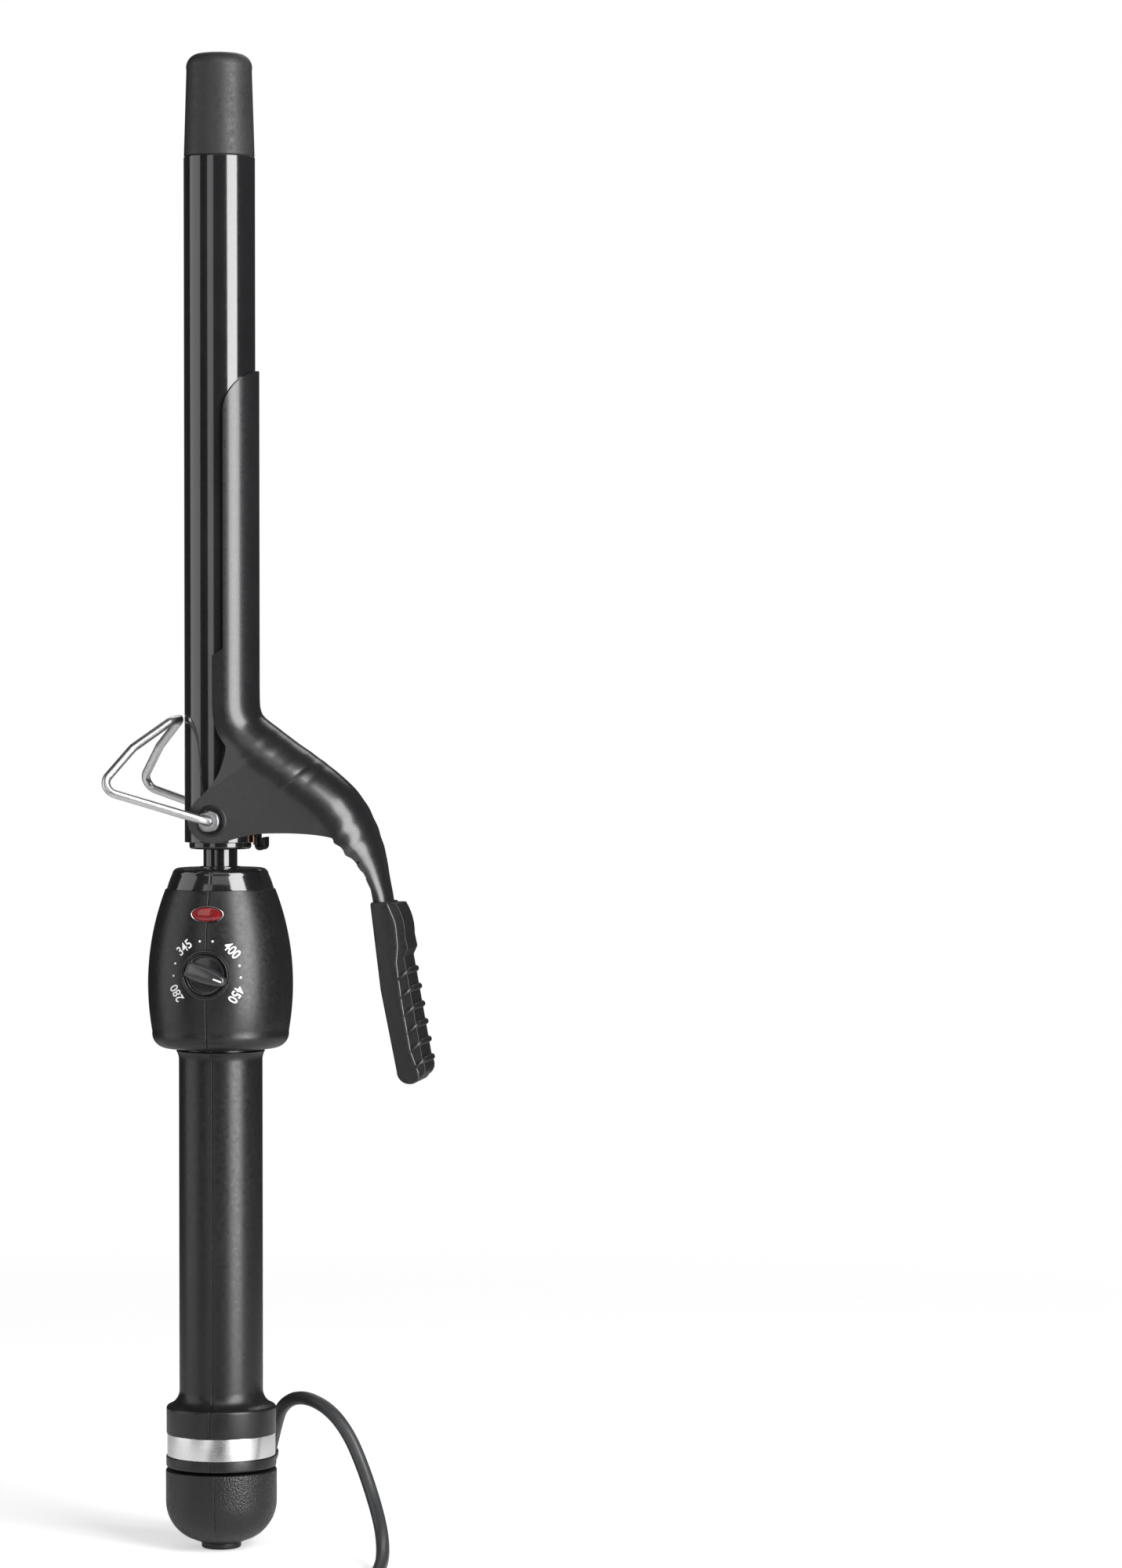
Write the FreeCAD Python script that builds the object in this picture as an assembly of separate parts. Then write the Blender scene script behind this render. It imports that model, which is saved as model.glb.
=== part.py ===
import FreeCAD, Part
import math
import os

# Corded curling iron with a spring clamp, a wire rest and a swivelling cord.
# Millimetres. +Z runs up the barrel, the dial faces -Y, the thumb lever points to +X.
# The origin is on the barrel's axis, in the flat face of the button under the end cap.

V = FreeCAD.Vector

# ---- driving dimensions ----
TOTAL_H = 400.4
BARREL_R = 9.525
BARREL_WALL = 1.0
BARREL_Z0 = 189.6
BARREL_Z1 = 372.5
PIVOT_Z = 195.6
COLLAR_R = 8.3
NECK_R = 4.55
CORE_R = 3.4
NOSE_Z0 = 177.1
NOSE_Z1 = 182.7
GRIP_R = 11.2
BAND_Z0 = 24.9
BAND_Z1 = 31.1
HANDLE_Z0 = 22.0
CAP_R = 14.9
CAP_Z1 = 21.3
BUTTON_R = 5.3
BUTTON_H = 1.6
DIAL_Z = 155.0
DIAL_R = 6.15
LENS_Z = 171.0
LENS_HALF_W = 4.1
LENS_HALF_H = 1.95
BEZEL_W = 0.35
SHEET = 0.9
SPOON_R = 10.6
PLATE_Y = 12.0
BOSS_R = 3.0
BOSS_Y = 15.5
BUSH_R = 4.25
WIRE_R = 1.15
CORD_R = 1.8
SHAFT_PLAY = 0.05
CAP_TURN = 4.8
FAR = 60.0


# ---- helpers ----
def edge_chain(outline, place, closed=True):
    """Edges through the outline's points. A step that is a pair of points is an arc: (through, end)."""
    at = outline[0]
    edges = []
    steps = outline[1:] + [at] if closed else outline[1:]
    for step in steps:
        if isinstance(step[0], tuple):
            through, end = step
            edges.append(Part.Arc(place(at), place(through), place(end)).toShape())
            at = end
        elif step != at:
            edges.append(Part.makeLine(place(at), place(step)))
            at = step
    return edges


def turned(outline):
    """A solid turned about Z from (radius, z) points."""
    wire = Part.Wire(edge_chain(outline, lambda p: V(p[0], 0, p[1])))
    return Part.Face(wire).revolve(V(0, 0, 0), V(0, 0, 1), 360)


def plate(outline, y0, y1):
    """A flat plate from (x, z) points, between two planes across Y."""
    wire = Part.Wire(edge_chain(outline, lambda p: V(p[0], y0, p[1])))
    return Part.Face(wire).extrude(V(0, y1 - y0, 0))


def block(x0, x1, y0, y1, z0, z1):
    return Part.makeBox(x1 - x0, y1 - y0, z1 - z0, V(x0, y0, z0))


def rod_z(r, z0, z1, x=0.0, y=0.0):
    return Part.makeCylinder(r, z1 - z0, V(x, y, z0), V(0, 0, 1))


def rod_y(r, y0, y1, x=0.0, z=0.0):
    return Part.makeCylinder(r, y1 - y0, V(x, y0, z), V(0, 1, 0))


def rod_x(r, x0, x1, y=0.0, z=0.0):
    return Part.makeCylinder(r, x1 - x0, V(x0, y, z), V(1, 0, 0))


def oval_y(half_w, half_h, y0, y1, z):
    """An oval prism along Y."""
    oval = Part.Ellipse(V(0, y0, z), half_w, half_h)
    edge = oval.toShape()
    edge.rotate(V(0, y0, z), V(1, 0, 0), 90)
    return Part.Face(Part.Wire(edge)).extrude(V(0, y1 - y0, 0))


def mirrored_y(shape):
    return shape.mirror(V(0, 0, 0), V(0, 1, 0))


def joined(shapes):
    whole = shapes[0]
    for shape in shapes[1:]:
        whole = whole.fuse(shape)
    return whole.removeSplitter()


def rounded_path(points, radius=None):
    """Straight runs joined by tangent arcs. With no radius, each arc is as large as its runs allow."""
    corners = [V(*p) for p in points]
    edges = []
    radii = []
    at = corners[0]
    for before, here, after in zip(corners, corners[1:], corners[2:]):
        into = (here - before).normalize()
        out = (after - here).normalize()
        half_turn = into.getAngle(out) / 2
        shorter = min((here - before).Length, (after - here).Length)
        r = radius or 0.45 * shorter / math.tan(half_turn)
        reach = r * math.tan(half_turn)
        inward = (out - into).normalize()
        centre = here + inward * (r / math.cos(half_turn))
        start = here - into * reach
        end = here + out * reach
        edges.append(Part.makeLine(at, start))
        edges.append(Part.Arc(start, centre - inward * r, end).toShape())
        radii.append(r)
        at = end
    edges.append(Part.makeLine(at, corners[-1]))
    return edges, radii


def tube(points, r, bend=None, name=None):
    """A round bar along a rounded path."""
    edges, radii = rounded_path(points, bend)
    path = Part.Wire(edges)
    start = V(*points[0])
    along = V(*points[1]) - start
    section = Part.Wire(Part.makeCircle(r, start, along))
    solid = path.makePipeShell([section], True, False)
    if name:
        share = solid.Volume / (math.pi * r * r * path.Length)
        print(name, "length", round(path.Length, 1), "volume share", round(share, 4))
        print(name, "radii", [round(x, 1) for x in radii])
    return solid


def half_space(side, turn=0.0):
    """A large box on one side of the plane x = 0, turned about Z."""
    box = block(0, 2 * FAR, -2 * FAR, 2 * FAR, -FAR, 500)
    if side < 0:
        box = block(-2 * FAR, 0, -2 * FAR, 2 * FAR, -FAR, 500)
    box.rotate(V(0, 0, 0), V(0, 0, 1), turn)
    return box


# ---- barrel and heater ----
def barrel():
    inner = BARREL_R - BARREL_WALL
    tube_wall = turned([(inner, BARREL_Z0), (BARREL_R - 0.3, BARREL_Z0), (BARREL_R, BARREL_Z0 + 0.3),
                        (BARREL_R, BARREL_Z1), (inner, BARREL_Z1)])
    rivet_holes = rod_y(2.0, -FAR, FAR, 0, PIVOT_Z)
    spring_hole = rod_x(1.2, 0, FAR, 0, PIVOT_Z + 1.5)
    return tube_wall.cut(rivet_holes).cut(spring_hole)


def cool_tip():
    spigot_r = BARREL_R - BARREL_WALL - 0.05
    return turned([(0, 363.0), (spigot_r, 363.0), (spigot_r, BARREL_Z1), (9.2, BARREL_Z1 + 0.05),
                   (9.45, BARREL_Z1 + 0.4), (9.2, 381.0), (8.75, 395.6), ((7.85, 398.9), (5.4, 400.1)),
                   (2.6, TOTAL_H), (0, TOTAL_H)])


def barrel_base_plug():
    spigot_r = BARREL_R - BARREL_WALL
    return turned([(CORE_R, 187.8), (COLLAR_R - 0.8, 187.8), ((COLLAR_R - 0.2, 188.05), (COLLAR_R, 188.7)),
                   (COLLAR_R, BARREL_Z0), (spigot_r, BARREL_Z0), (spigot_r, 192.4), (CORE_R, 192.4)])


def core_tube():
    outer = rod_z(CORE_R, 150.0, 192.4)
    return outer.cut(rod_z(CORE_R - 0.5, 149.0, 193.0))


def heater_block(side):
    """Half of an aluminium slug that carries the heat to the barrel."""
    slug = rod_z(BARREL_R - BARREL_WALL - 0.05, 212.0, 356.0)
    gap = 1.1
    if side < 0:
        return slug.common(block(-FAR, FAR, -FAR, -gap, 200, 360))
    return slug.common(block(-FAR, FAR, gap, FAR, 200, 360))


def ptc_heater():
    return block(-6.0, 6.0, -1.05, 1.05, 262.0, 322.0)


def thermistor():
    return block(3.4, 6.4, -0.9, 0.9, 246.0, 252.0)


def thermal_fuse():
    return rod_z(1.7, 198.5, 207.5, -4.2, 0)


def heater_leads():
    wires = [rod_z(0.7, 172.5, 261.8, x, 0) for x in (-1.3, 1.3)]
    return Part.makeCompound(wires)


# ---- pivot, bushes, clamp and grip ----
def pivot_boss(side):
    """A stud on the barrel: a saddle that fits the tube, a riveted spigot and a hollow journal."""
    inner = BARREL_R - BARREL_WALL
    saddle = rod_y(4.6, -10.8, -7.0, 0, PIVOT_Z).cut(rod_z(BARREL_R, PIVOT_Z - 20, PIVOT_Z + 20))
    spigot = rod_y(2.0, -BARREL_R, -7.0, 0, PIVOT_Z).cut(rod_z(inner, PIVOT_Z - 20, PIVOT_Z + 20))
    journal = rod_y(BOSS_R, -BOSS_Y, -10.7, 0, PIVOT_Z)
    rim = [e for e in journal.Edges if abs(e.CenterOfMass.y + BOSS_Y) < 1e-6]
    journal = journal.makeChamfer(0.3, rim)
    stud = joined([saddle, spigot, journal])
    stud = stud.cut(rod_y(WIRE_R + SHAFT_PLAY, -BOSS_Y - 1, -9.8, 0, PIVOT_Z))
    return stud if side < 0 else mirrored_y(stud)


def pivot_bush(side):
    ring = rod_y(BUSH_R, -PLATE_Y - 0.3, -PLATE_Y + SHEET, 0, PIVOT_Z)
    ring = ring.cut(rod_y(BOSS_R + SHAFT_PLAY, -FAR, 0, 0, PIVOT_Z))
    return ring if side < 0 else mirrored_y(ring)


# Stations along the lever's back: x, z over the pivot, tilt of the inward normal below -X in degrees,
# half width, corner radius, depth of the walls.
LEVER_STATIONS = [
    (10.6, 44.0, 0, 10.6, 10.4, 14),
    (10.6, 36.0, 0, 10.6, 10.4, 14),
    (10.75, 30.2, 9, 10.9, 10.7, 20),
    (12.1, 27.35, 33, 11.4, 11.2, 34),
    (15.2, 24.85, 51, 11.9, 11.7, 42),
    (20.8, 20.8, 53, 12.0, 11.8, 42),
    (27.9, 15.7, 52, 12.0, 11.8, 38),
    (33.7, 11.0, 48, 12.0, 11.6, 26),
    (38.0, 6.2, 40, 12.0, 11.0, 18),
    (41.1, 0.8, 28, 11.6, 9.6, 15),
    (43.1, -4.6, 19, 10.3, 7.6, 12),
    (44.7, -10.4, 14, 8.2, 5.4, 9),
    (45.9, -16.4, 11, 6.6, 4.0, 7),
    (47.0, -22.4, 10, 6.0, 3.6, 6),
]


def lever_section(station, inset, extra):
    """A D-shaped wire across the lever, its back rounded by two corners."""
    x, z, tilt, half, corner, depth = station
    inward = V(-math.cos(math.radians(tilt)), 0, -math.sin(math.radians(tilt)))
    top = V(x, 0, z + PIVOT_Z) + inward * inset
    w = half - inset
    r = corner - inset
    d = depth + extra
    bend = r * (1 - math.sqrt(0.5))

    def at(y, down):
        return top + V(0, y, 0) + inward * down

    return Part.Wire([
        Part.makeLine(at(-w, d), at(-w, r)),
        Part.Arc(at(-w, r), at(-w + bend, bend), at(-w + r, 0)).toShape(),
        Part.makeLine(at(-w + r, 0), at(w - r, 0)),
        Part.Arc(at(w - r, 0), at(w - bend, bend), at(w, r)).toShape(),
        Part.makeLine(at(w, r), at(w, d)),
        Part.makeLine(at(w, d), at(-w, d)),
    ])


def lever_side_view():
    """The outline that trims the lever's walls, seen from the front."""
    z = PIVOT_Z
    return plate([
        (2.9, z + 44.0), (3.0, z + 30.0), ((3.85, z + 20.4), (2.6, z + 13.7)),
        ((-0.2, z + 8.9), (-4.9, z + 4.4)), ((-6.0, z - 1.1), (-2.4, z - 5.6)),
        ((2.6, z - 5.55), (7.0, z - 4.6)), ((18.0, z - 3.1), (31.0, z - 3.9)),
        ((37.6, z - 7.4), (40.6, z - 12.6)), (42.9, z - 23.0), (60.0, z - 23.0), (60.0, z + 44.0),
    ], -FAR, FAR)


def spoon():
    """The curved blade that lies along the barrel, with an oval end."""
    inner = SPOON_R - SHEET
    shell = rod_z(SPOON_R, PIVOT_Z + 43.9, 315.5).cut(rod_z(inner, PIVOT_Z, 320))
    edge_angle = math.radians(76)
    shoulder_z = 304.0
    tip_h = 11.5
    steps = 12
    rows = []
    for i in range(steps + 1):
        angle = edge_angle * (1 - i / steps)
        rise = tip_h * math.sqrt(1 - (angle / edge_angle) ** 2)
        rows.append((SPOON_R * math.sin(angle), shoulder_z + rise))
    curve = Part.BSplineCurve()
    curve.interpolate([V(0, y, z) for y, z in rows + [(-y, z) for y, z in reversed(rows[:-1])]])
    y0, z0 = rows[0]
    low = PIVOT_Z + 43.0
    face = Part.Face(Part.Wire([curve.toShape(), Part.makeLine(V(0, -y0, z0), V(0, -y0, low)),
                                Part.makeLine(V(0, -y0, low), V(0, y0, low)),
                                Part.makeLine(V(0, y0, low), V(0, y0, z0))]))
    return shell.common(face.extrude(V(FAR, 0, 0)))


def clamp_lever():
    outer = Part.makeLoft([lever_section(s, 0, 0) for s in LEVER_STATIONS], True, True)
    inner = Part.makeLoft([lever_section(s, SHEET, 6) for s in LEVER_STATIONS], True, True)
    channel = outer.cut(inner).common(lever_side_view())
    holes = rod_y(BUSH_R, -FAR, FAR, 0, PIVOT_Z)
    tongue = plate([(45.2, PIVOT_Z - 21.6), (46.1, PIVOT_Z - 21.5), (51.5, PIVOT_Z - 58.0),
                    (50.6, PIVOT_Z - 58.1)], -4.5, 4.5)
    return joined([spoon(), channel.cut(holes), tongue])


def thumb_grip():
    z = PIVOT_Z
    body = plate([
        (42.0, z - 21.5), (49.3, z - 21.5), ((50.9, z - 24.5), (51.7, z - 30.5)), (52.4, z - 33.9),
        (51.6, z - 36.2), (52.6, z - 41.0), (57.3, z - 65.0), ((57.3, z - 67.8), (55.2, z - 69.2)),
        (52.6, z - 69.9), ((50.4, z - 69.0), (49.2, z - 66.4)), (44.9, z - 44.8),
    ], -8.0, 8.0)
    ridges = []
    for i in range(6):
        x = 51.9 + i * 0.87
        centre_z = z - 40.2 - i * 4.72
        bar = rod_y(1.0, -5.6, 5.6, x, centre_z)
        ridges.append(bar)
    pocket = plate([(45.15, z - 21.0), (46.15, z - 21.0), (51.6, z - 58.2), (50.5, z - 58.2)], -4.6, 4.6)
    mouth = block(42.9, 48.6, -6.6, 6.6, z - 23.2, z - 21.0)
    return joined([body] + ridges).cut(pocket).cut(mouth)


# ---- spring ----
def spring_bracket():
    """A J-shaped hook that traps the foot of the leaf spring against the barrel."""
    z = PIVOT_Z
    web = plate([(9.95, z + 3.2), (10.75, z + 3.2), (10.75, z - 6.4), ((11.35, z - 7.1), (11.95, z - 6.4)),
                 (11.95, z - 4.6), (12.7, z - 4.6), (12.7, z - 6.4), ((11.3, z - 8.1), (9.95, z - 6.4))],
                -3.2, 3.2)
    return web.cut(rod_x(1.2, 0, FAR, 0, z + 1.5))


def leaf_spring():
    z = PIVOT_Z
    points = [(9.77, 0, z - 6.6), (9.77, 0, z + 7.0), (12.6, 0, z + 17.0), (13.6, 0, z + 22.0)]
    edges, _ = rounded_path(points, 12.0)
    path = Part.Wire(edges)
    half_t = 0.17
    section = Part.makePolygon([V(9.77 - half_t, -3.6, z - 6.6), V(9.77 + half_t, -3.6, z - 6.6),
                                V(9.77 + half_t, 3.6, z - 6.6), V(9.77 - half_t, 3.6, z - 6.6),
                                V(9.77 - half_t, -3.6, z - 6.6)])
    leaf = path.makePipeShell([section], True, False)
    return leaf.cut(rod_x(1.2, 0, FAR, 0, z + 1.5))


def spring_rivet():
    z = PIVOT_Z + 1.5
    return joined([rod_x(1.2, BARREL_R - BARREL_WALL, 10.8, 0, z), rod_x(2.0, 10.75, 11.4, 0, z)])


# ---- stand ----
def stand_wire():
    z = PIVOT_Z
    side = [(0, -10.2, z), (0, -17.3, z), (-27.6, -25.6, z + 8.8), (-20.2, -16.2, z + 19.4),
            (-12.4, -5.2, z + 26.4)]
    apex = [(-11.2, 0, z + 27.0)]
    return tube(side + apex + [(x, -y, h) for x, y, h in reversed(side)], WIRE_R, bend=3.2, name="stand")


# ---- handle ----
def handle_shell():
    outside = [
        (7.35, HANDLE_Z0), (14.3, HANDLE_Z0), ((14.65, HANDLE_Z0 + 0.15), (14.8, HANDLE_Z0 + 0.5)),
        (14.8, BAND_Z0), (13.9, BAND_Z0), (13.9, BAND_Z1), (14.7, BAND_Z1), (14.7, 37.5),
        ((14.55, 38.1), (14.0, 38.5)), ((12.1, 39.9), (GRIP_R, 42.8)), (GRIP_R, 131.0),
        ((11.4, 132.6), (11.9, 133.7)), (10.2, 133.7), (10.2, 134.5), (15.0, 134.6),
        ((17.45, 136.0), (18.3, 139.0)), ((19.15, 145.5), (19.4, 153.5)),
        ((17.9, 166.3), (14.7, NOSE_Z0)),
    ]
    inside = [
        (12.0, NOSE_Z0), (12.0, 174.3), (13.2, 174.3), ((15.9, 165.9), (17.3, 153.5)),
        ((17.05, 145.5), (16.3, 139.8)), (14.6, 136.8), (8.4, 136.8), (8.4, 130.5), (9.2, 129.5),
        (9.2, 37.0), (11.6, 37.0), (11.6, 26.6), (7.35, 26.6),
    ]
    return turned(outside + inside)


SCREWS = ((10.5, 145.0), (5.2, 116.0), (5.2, 58.0))


def handle_half(side):
    half = handle_shell().common(half_space(side))
    posts = []
    reach = 18.0
    for y, z in SCREWS:
        post = rod_x(2.7, 0, reach, y, z) if side > 0 else rod_x(2.7, -reach, 0, y, z)
        posts.append(post)
    envelope = turned([(0, 40), (GRIP_R - 1, 42), (GRIP_R - 1, 131), (10.0, 136.0), (15.5, 136.0),
                       ((18.3, 145.0), (18.3, 153.0)), (0, 153.0)])
    whole = joined([half] + [p.common(envelope) for p in posts])
    for y, z in SCREWS:
        if side > 0:
            whole = whole.cut(rod_x(1.3, -1, 5.6, y, z))
        else:
            whole = whole.cut(rod_x(1.35, -FAR, 1, y, z)).cut(rod_x(2.65, -FAR, -5.0, y, z))
    whole = whole.cut(oval_y(LENS_HALF_W + BEZEL_W, LENS_HALF_H + BEZEL_W, -FAR, -5, LENS_Z))
    return whole.cut(rod_y(DIAL_R + 0.3, -FAR, -5, 0, DIAL_Z))


def handle_screws():
    screws = []
    for y, z in SCREWS:
        screws.append(joined([rod_x(1.3, -6.0, 5.5, y, z), rod_x(2.5, -6.8, -5.0, y, z)]))
    return Part.makeCompound(screws)


def nose_half(side):
    nose = turned([
        (CORE_R, 171.6), (12.9, 171.6), (12.9, 174.2), (11.9, 174.2), (11.9, NOSE_Z0), (14.3, NOSE_Z0),
        (14.3, NOSE_Z0 + 0.1), ((13.75, 179.0), (12.9, 181.1)), ((12.35, 182.2), (11.3, NOSE_Z1)),
        (5.5, NOSE_Z1), (5.5, 183.1), (NECK_R, 183.2), (NECK_R, 187.8), (CORE_R, 187.8),
    ])
    return nose.common(half_space(side))


def badge_band():
    return turned([(13.9, BAND_Z0 + 0.05), (14.4, BAND_Z0 + 0.05), (14.5, BAND_Z0 + 0.2),
                   (14.5, BAND_Z1 - 0.2), (14.4, BAND_Z1 - 0.05), (13.9, BAND_Z1 - 0.05)])


def indicator_lens():
    outer_y = -16.95
    lens = oval_y(LENS_HALF_W, LENS_HALF_H, outer_y, -14.0, LENS_Z)
    dome = Part.makeSphere(40.0, V(0, outer_y + 40.0 - 0.35, LENS_Z))
    return lens.common(dome)


def lens_bezel():
    ring = oval_y(LENS_HALF_W + BEZEL_W, LENS_HALF_H + BEZEL_W, -17.0, -15.2, LENS_Z)
    return ring.cut(oval_y(LENS_HALF_W, LENS_HALF_H, -FAR, 0, LENS_Z))


def indicator_led():
    z = LENS_Z - 1.2
    return joined([rod_y(1.3, -13.0, -9.7, 0, z), rod_y(1.5, -10.6, -9.7, 0, z)])


# ---- dial and electronics ----
def dial_knob():
    disc = rod_y(DIAL_R, -19.7, -15.6, 0, DIAL_Z)
    wing = plate([(-1.9, DIAL_Z - 5.0), (1.9, DIAL_Z - 5.0), ((2.3, DIAL_Z), (1.2, DIAL_Z + 5.5)),
                  ((0, DIAL_Z + 5.9), (-1.2, DIAL_Z + 5.5)), ((-2.3, DIAL_Z), (-1.9, DIAL_Z - 5.0))],
                 -21.4, -19.6)
    wing.rotate(V(0, 0, DIAL_Z), V(0, 1, 0), 110)
    return joined([disc, wing]).cut(rod_y(1.5, -17.6, -15, 0, DIAL_Z))


def dial_shaft():
    return rod_y(1.5, -17.6, -10.5, 0, DIAL_Z)


def potentiometer():
    case = block(-5.0, 5.0, -14.2, -9.6, DIAL_Z - 5.5, DIAL_Z + 5.0)
    return case.cut(rod_y(1.5 + SHAFT_PLAY, -20, -10.4, 0, DIAL_Z))


def control_board():
    return block(-8.5, 8.5, -9.6, -8.2, 140.5, 171.0)


def triac():
    return block(-5.2, 5.2, -8.2, -3.9, 156.0, 170.5)


def filter_capacitor():
    return joined([rod_z(3.1, 142.0, 150.0, 3.6, -5.0), block(2.6, 4.6, -8.2, -5.0, 144.0, 148.0)])


def mains_leads():
    wires = [rod_z(0.9, 37.0, 140.4, x, -5.0) for x in (-2.4, 2.4)]
    return Part.makeCompound(wires)


# ---- swivel ----
RELIEF_START = (3.2, 23.1, 5.0)
RELIEF_END = (9.4, 20.2, 23.8)


def swivel_cap():
    outside = turned([
        (0, BUTTON_H), (5.6, BUTTON_H), (8.9, 2.95), ((13.35, 7.1), (CAP_R, 12.6)), (CAP_R, CAP_Z1 - 0.5),
        ((CAP_R - 0.15, CAP_Z1 - 0.15), (CAP_R - 0.5, CAP_Z1)), (7.2, CAP_Z1), (7.2, 26.8), (9.8, 26.8),
        (9.8, 28.8), (0, 28.8),
    ])
    start = V(*RELIEF_START)
    up = (V(*RELIEF_END) - start).normalize()
    elbow = Part.makeCylinder(4.8, 4.6, start - up * 4.6, up)
    knee = Part.makeSphere(4.8, start - up * 4.6)
    wall_y = 11.0
    arm_start = V(start.x * 0.5, wall_y, start.z - up.z * 4.6 + 1.9)
    reach = (start - up * 4.6) - arm_start
    arm = Part.makeCylinder(4.8, reach.Length, arm_start, reach)
    floor_cut = block(-FAR, FAR, -FAR, FAR, -FAR, 0.6)
    lug = joined([elbow, knee, arm]).cut(floor_cut)
    body = joined([outside, lug])
    hollow = turned([(0, 7.0), (7.0, 7.0), ((11.2, 9.2), (12.9, 13.0)), (12.9, 19.3), (0, 19.3)])
    stem_bore = rod_z(5.2, 19.0, 29.5)
    screw_bore = rod_z(2.0, 0, 7.5)
    return body.cut(hollow).cut(stem_bore).cut(screw_bore).cut(cord_relief())


def swivel_cap_half(side):
    return swivel_cap().common(half_space(side, CAP_TURN))


def slip_ring_hub():
    return joined([rod_z(5.2, 24.0, 28.8), rod_z(4.9, 28.8, 33.8)]).cut(rod_z(2.2, 23.0, 32.0))


def slip_rings():
    rings = [rod_z(5.8, z, z + 1.5).cut(rod_z(4.9, z - 1, z + 3)) for z in (29.3, 31.8)]
    return Part.makeCompound(rings)


def contact_brushes():
    left = joined([block(-6.6, -5.85, -1.4, 1.4, 31.9, 33.1), block(-7.1, -6.6, -1.4, 1.4, 31.9, 34.6)])
    right = joined([block(5.85, 7.0, -1.4, 1.4, 29.4, 30.7), block(7.0, 7.5, -1.4, 1.4, 29.4, 34.6)])
    return Part.makeCompound([left, right])


def brush_holder():
    return rod_z(11.6, 34.6, 36.95)


def end_button():
    head = turned([(0, 0), (BUTTON_R - 0.5, 0), ((BUTTON_R - 0.15, 0.15), (BUTTON_R, 0.5)),
                   (BUTTON_R, BUTTON_H), (2.0, BUTTON_H), (2.0, 7.4), (0, 7.4)])
    return head


# ---- cord ----
def cord_relief():
    start = V(*RELIEF_START)
    along = V(*RELIEF_END) - start
    cone = Part.makeCone(3.9, 2.4, along.Length, start, along)
    return cone


# The route lies loose: out of the relief, over in an arch, down to the floor and on to the coil.
LEAD = [RELIEF_END, (11.1, 18.9, 30.4), (13.7, 14.5, 36.2), (18.5, 9.5, 39.4), (24.3, 4.6, 39.5),
        (30.3, 0.9, 36.7), (35.3, -1.8, 31.1), (39.3, -4.5, 23.5), (43.1, -8.7, 15.3), (46.5, -15.7, 8.4),
        (48.9, -26.3, 3.6), (50.3, -40.0, 1.9), (51.3, -60.0, 1.85), (52.1, -80.5, 1.86),
        (52.7, -101.0, 1.85), (53.2, -121.5, 1.86), (53.4, -142.0, 1.85)]
COIL_X = 26.5
COIL_Y = -147.0
COIL_MID_R = 21.5
TURNS_WIDE = 4
TURNS_HIGH = 4
TAIL = [(22.8, -173.6, 12.6), (12.3, -172.3, 12.1), (2.3, -171.2, 10.2), (-6.8, -169.6, 8.0),
        (-12.9, -165.3, 6.7), (-16.4, -158.6, 6.1), (-16.4, -150.2, 6.0)]
PLUG_X = -16.4
PLUG_Z = 6.0
PLUG_TAPER = 17.6
PLUG_LENGTH = 24.0
BLADE_LENGTH = 16.0


def cord_coil():
    half_w = TURNS_WIDE * CORD_R
    top = TURNS_HIGH * 2 * CORD_R
    r0 = COIL_MID_R - half_w
    r1 = COIL_MID_R + half_w
    bend = CORD_R * (1 - math.sqrt(0.5))
    ring = turned([
        (r0 + CORD_R, 0), (r1 - CORD_R, 0), ((r1 - bend, bend), (r1, CORD_R)), (r1, top - CORD_R),
        ((r1 - bend, top - bend), (r1 - CORD_R, top)), (r0 + CORD_R, top),
        ((r0 + bend, top - bend), (r0, top - CORD_R)), (r0, CORD_R),
        ((r0 + bend, bend), (r0 + CORD_R, 0)),
    ])
    ring.translate(V(COIL_X, COIL_Y, 0))
    return ring


def cord_tie():
    """A strap round the bundle of turns, on the side away from the plug."""
    half_w = TURNS_WIDE * CORD_R
    top = TURNS_HIGH * 2 * CORD_R
    wall = 0.8
    x0 = COIL_X - COIL_MID_R - half_w
    x1 = COIL_X - COIL_MID_R + half_w
    y0 = COIL_Y - 4.0
    y1 = COIL_Y + 4.0
    outer = block(x0 - wall, x1 + wall, y0, y1, 0, top + wall)
    return outer.cut(block(x0 + 0.05, x1 - 0.05, y0 - 1, y1 + 1, wall, top))


def plug_body():
    tail_y = TAIL[-1][1]
    rear = tail_y + PLUG_TAPER
    front = rear + PLUG_LENGTH
    body = block(PLUG_X - 11.5, PLUG_X + 11.5, rear, front, PLUG_Z - 6.0, PLUG_Z + 6.0)
    body = body.makeFillet(3.0, [e for e in body.Edges if e.CenterOfMass.y < front - 0.1])
    taper = Part.makeCone(2.4, 4.4, PLUG_TAPER + 2, V(PLUG_X, tail_y, PLUG_Z), V(0, 1, 0))
    return joined([body, taper])


def plug_blades():
    start = TAIL[-1][1] + PLUG_TAPER + PLUG_LENGTH
    blades = []
    for x in (PLUG_X - 6.35, PLUG_X + 6.35):
        blades.append(block(x - 0.75, x + 0.75, start, start + BLADE_LENGTH, PLUG_Z - 3.15, PLUG_Z + 3.15))
    return Part.makeCompound(blades)


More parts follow.
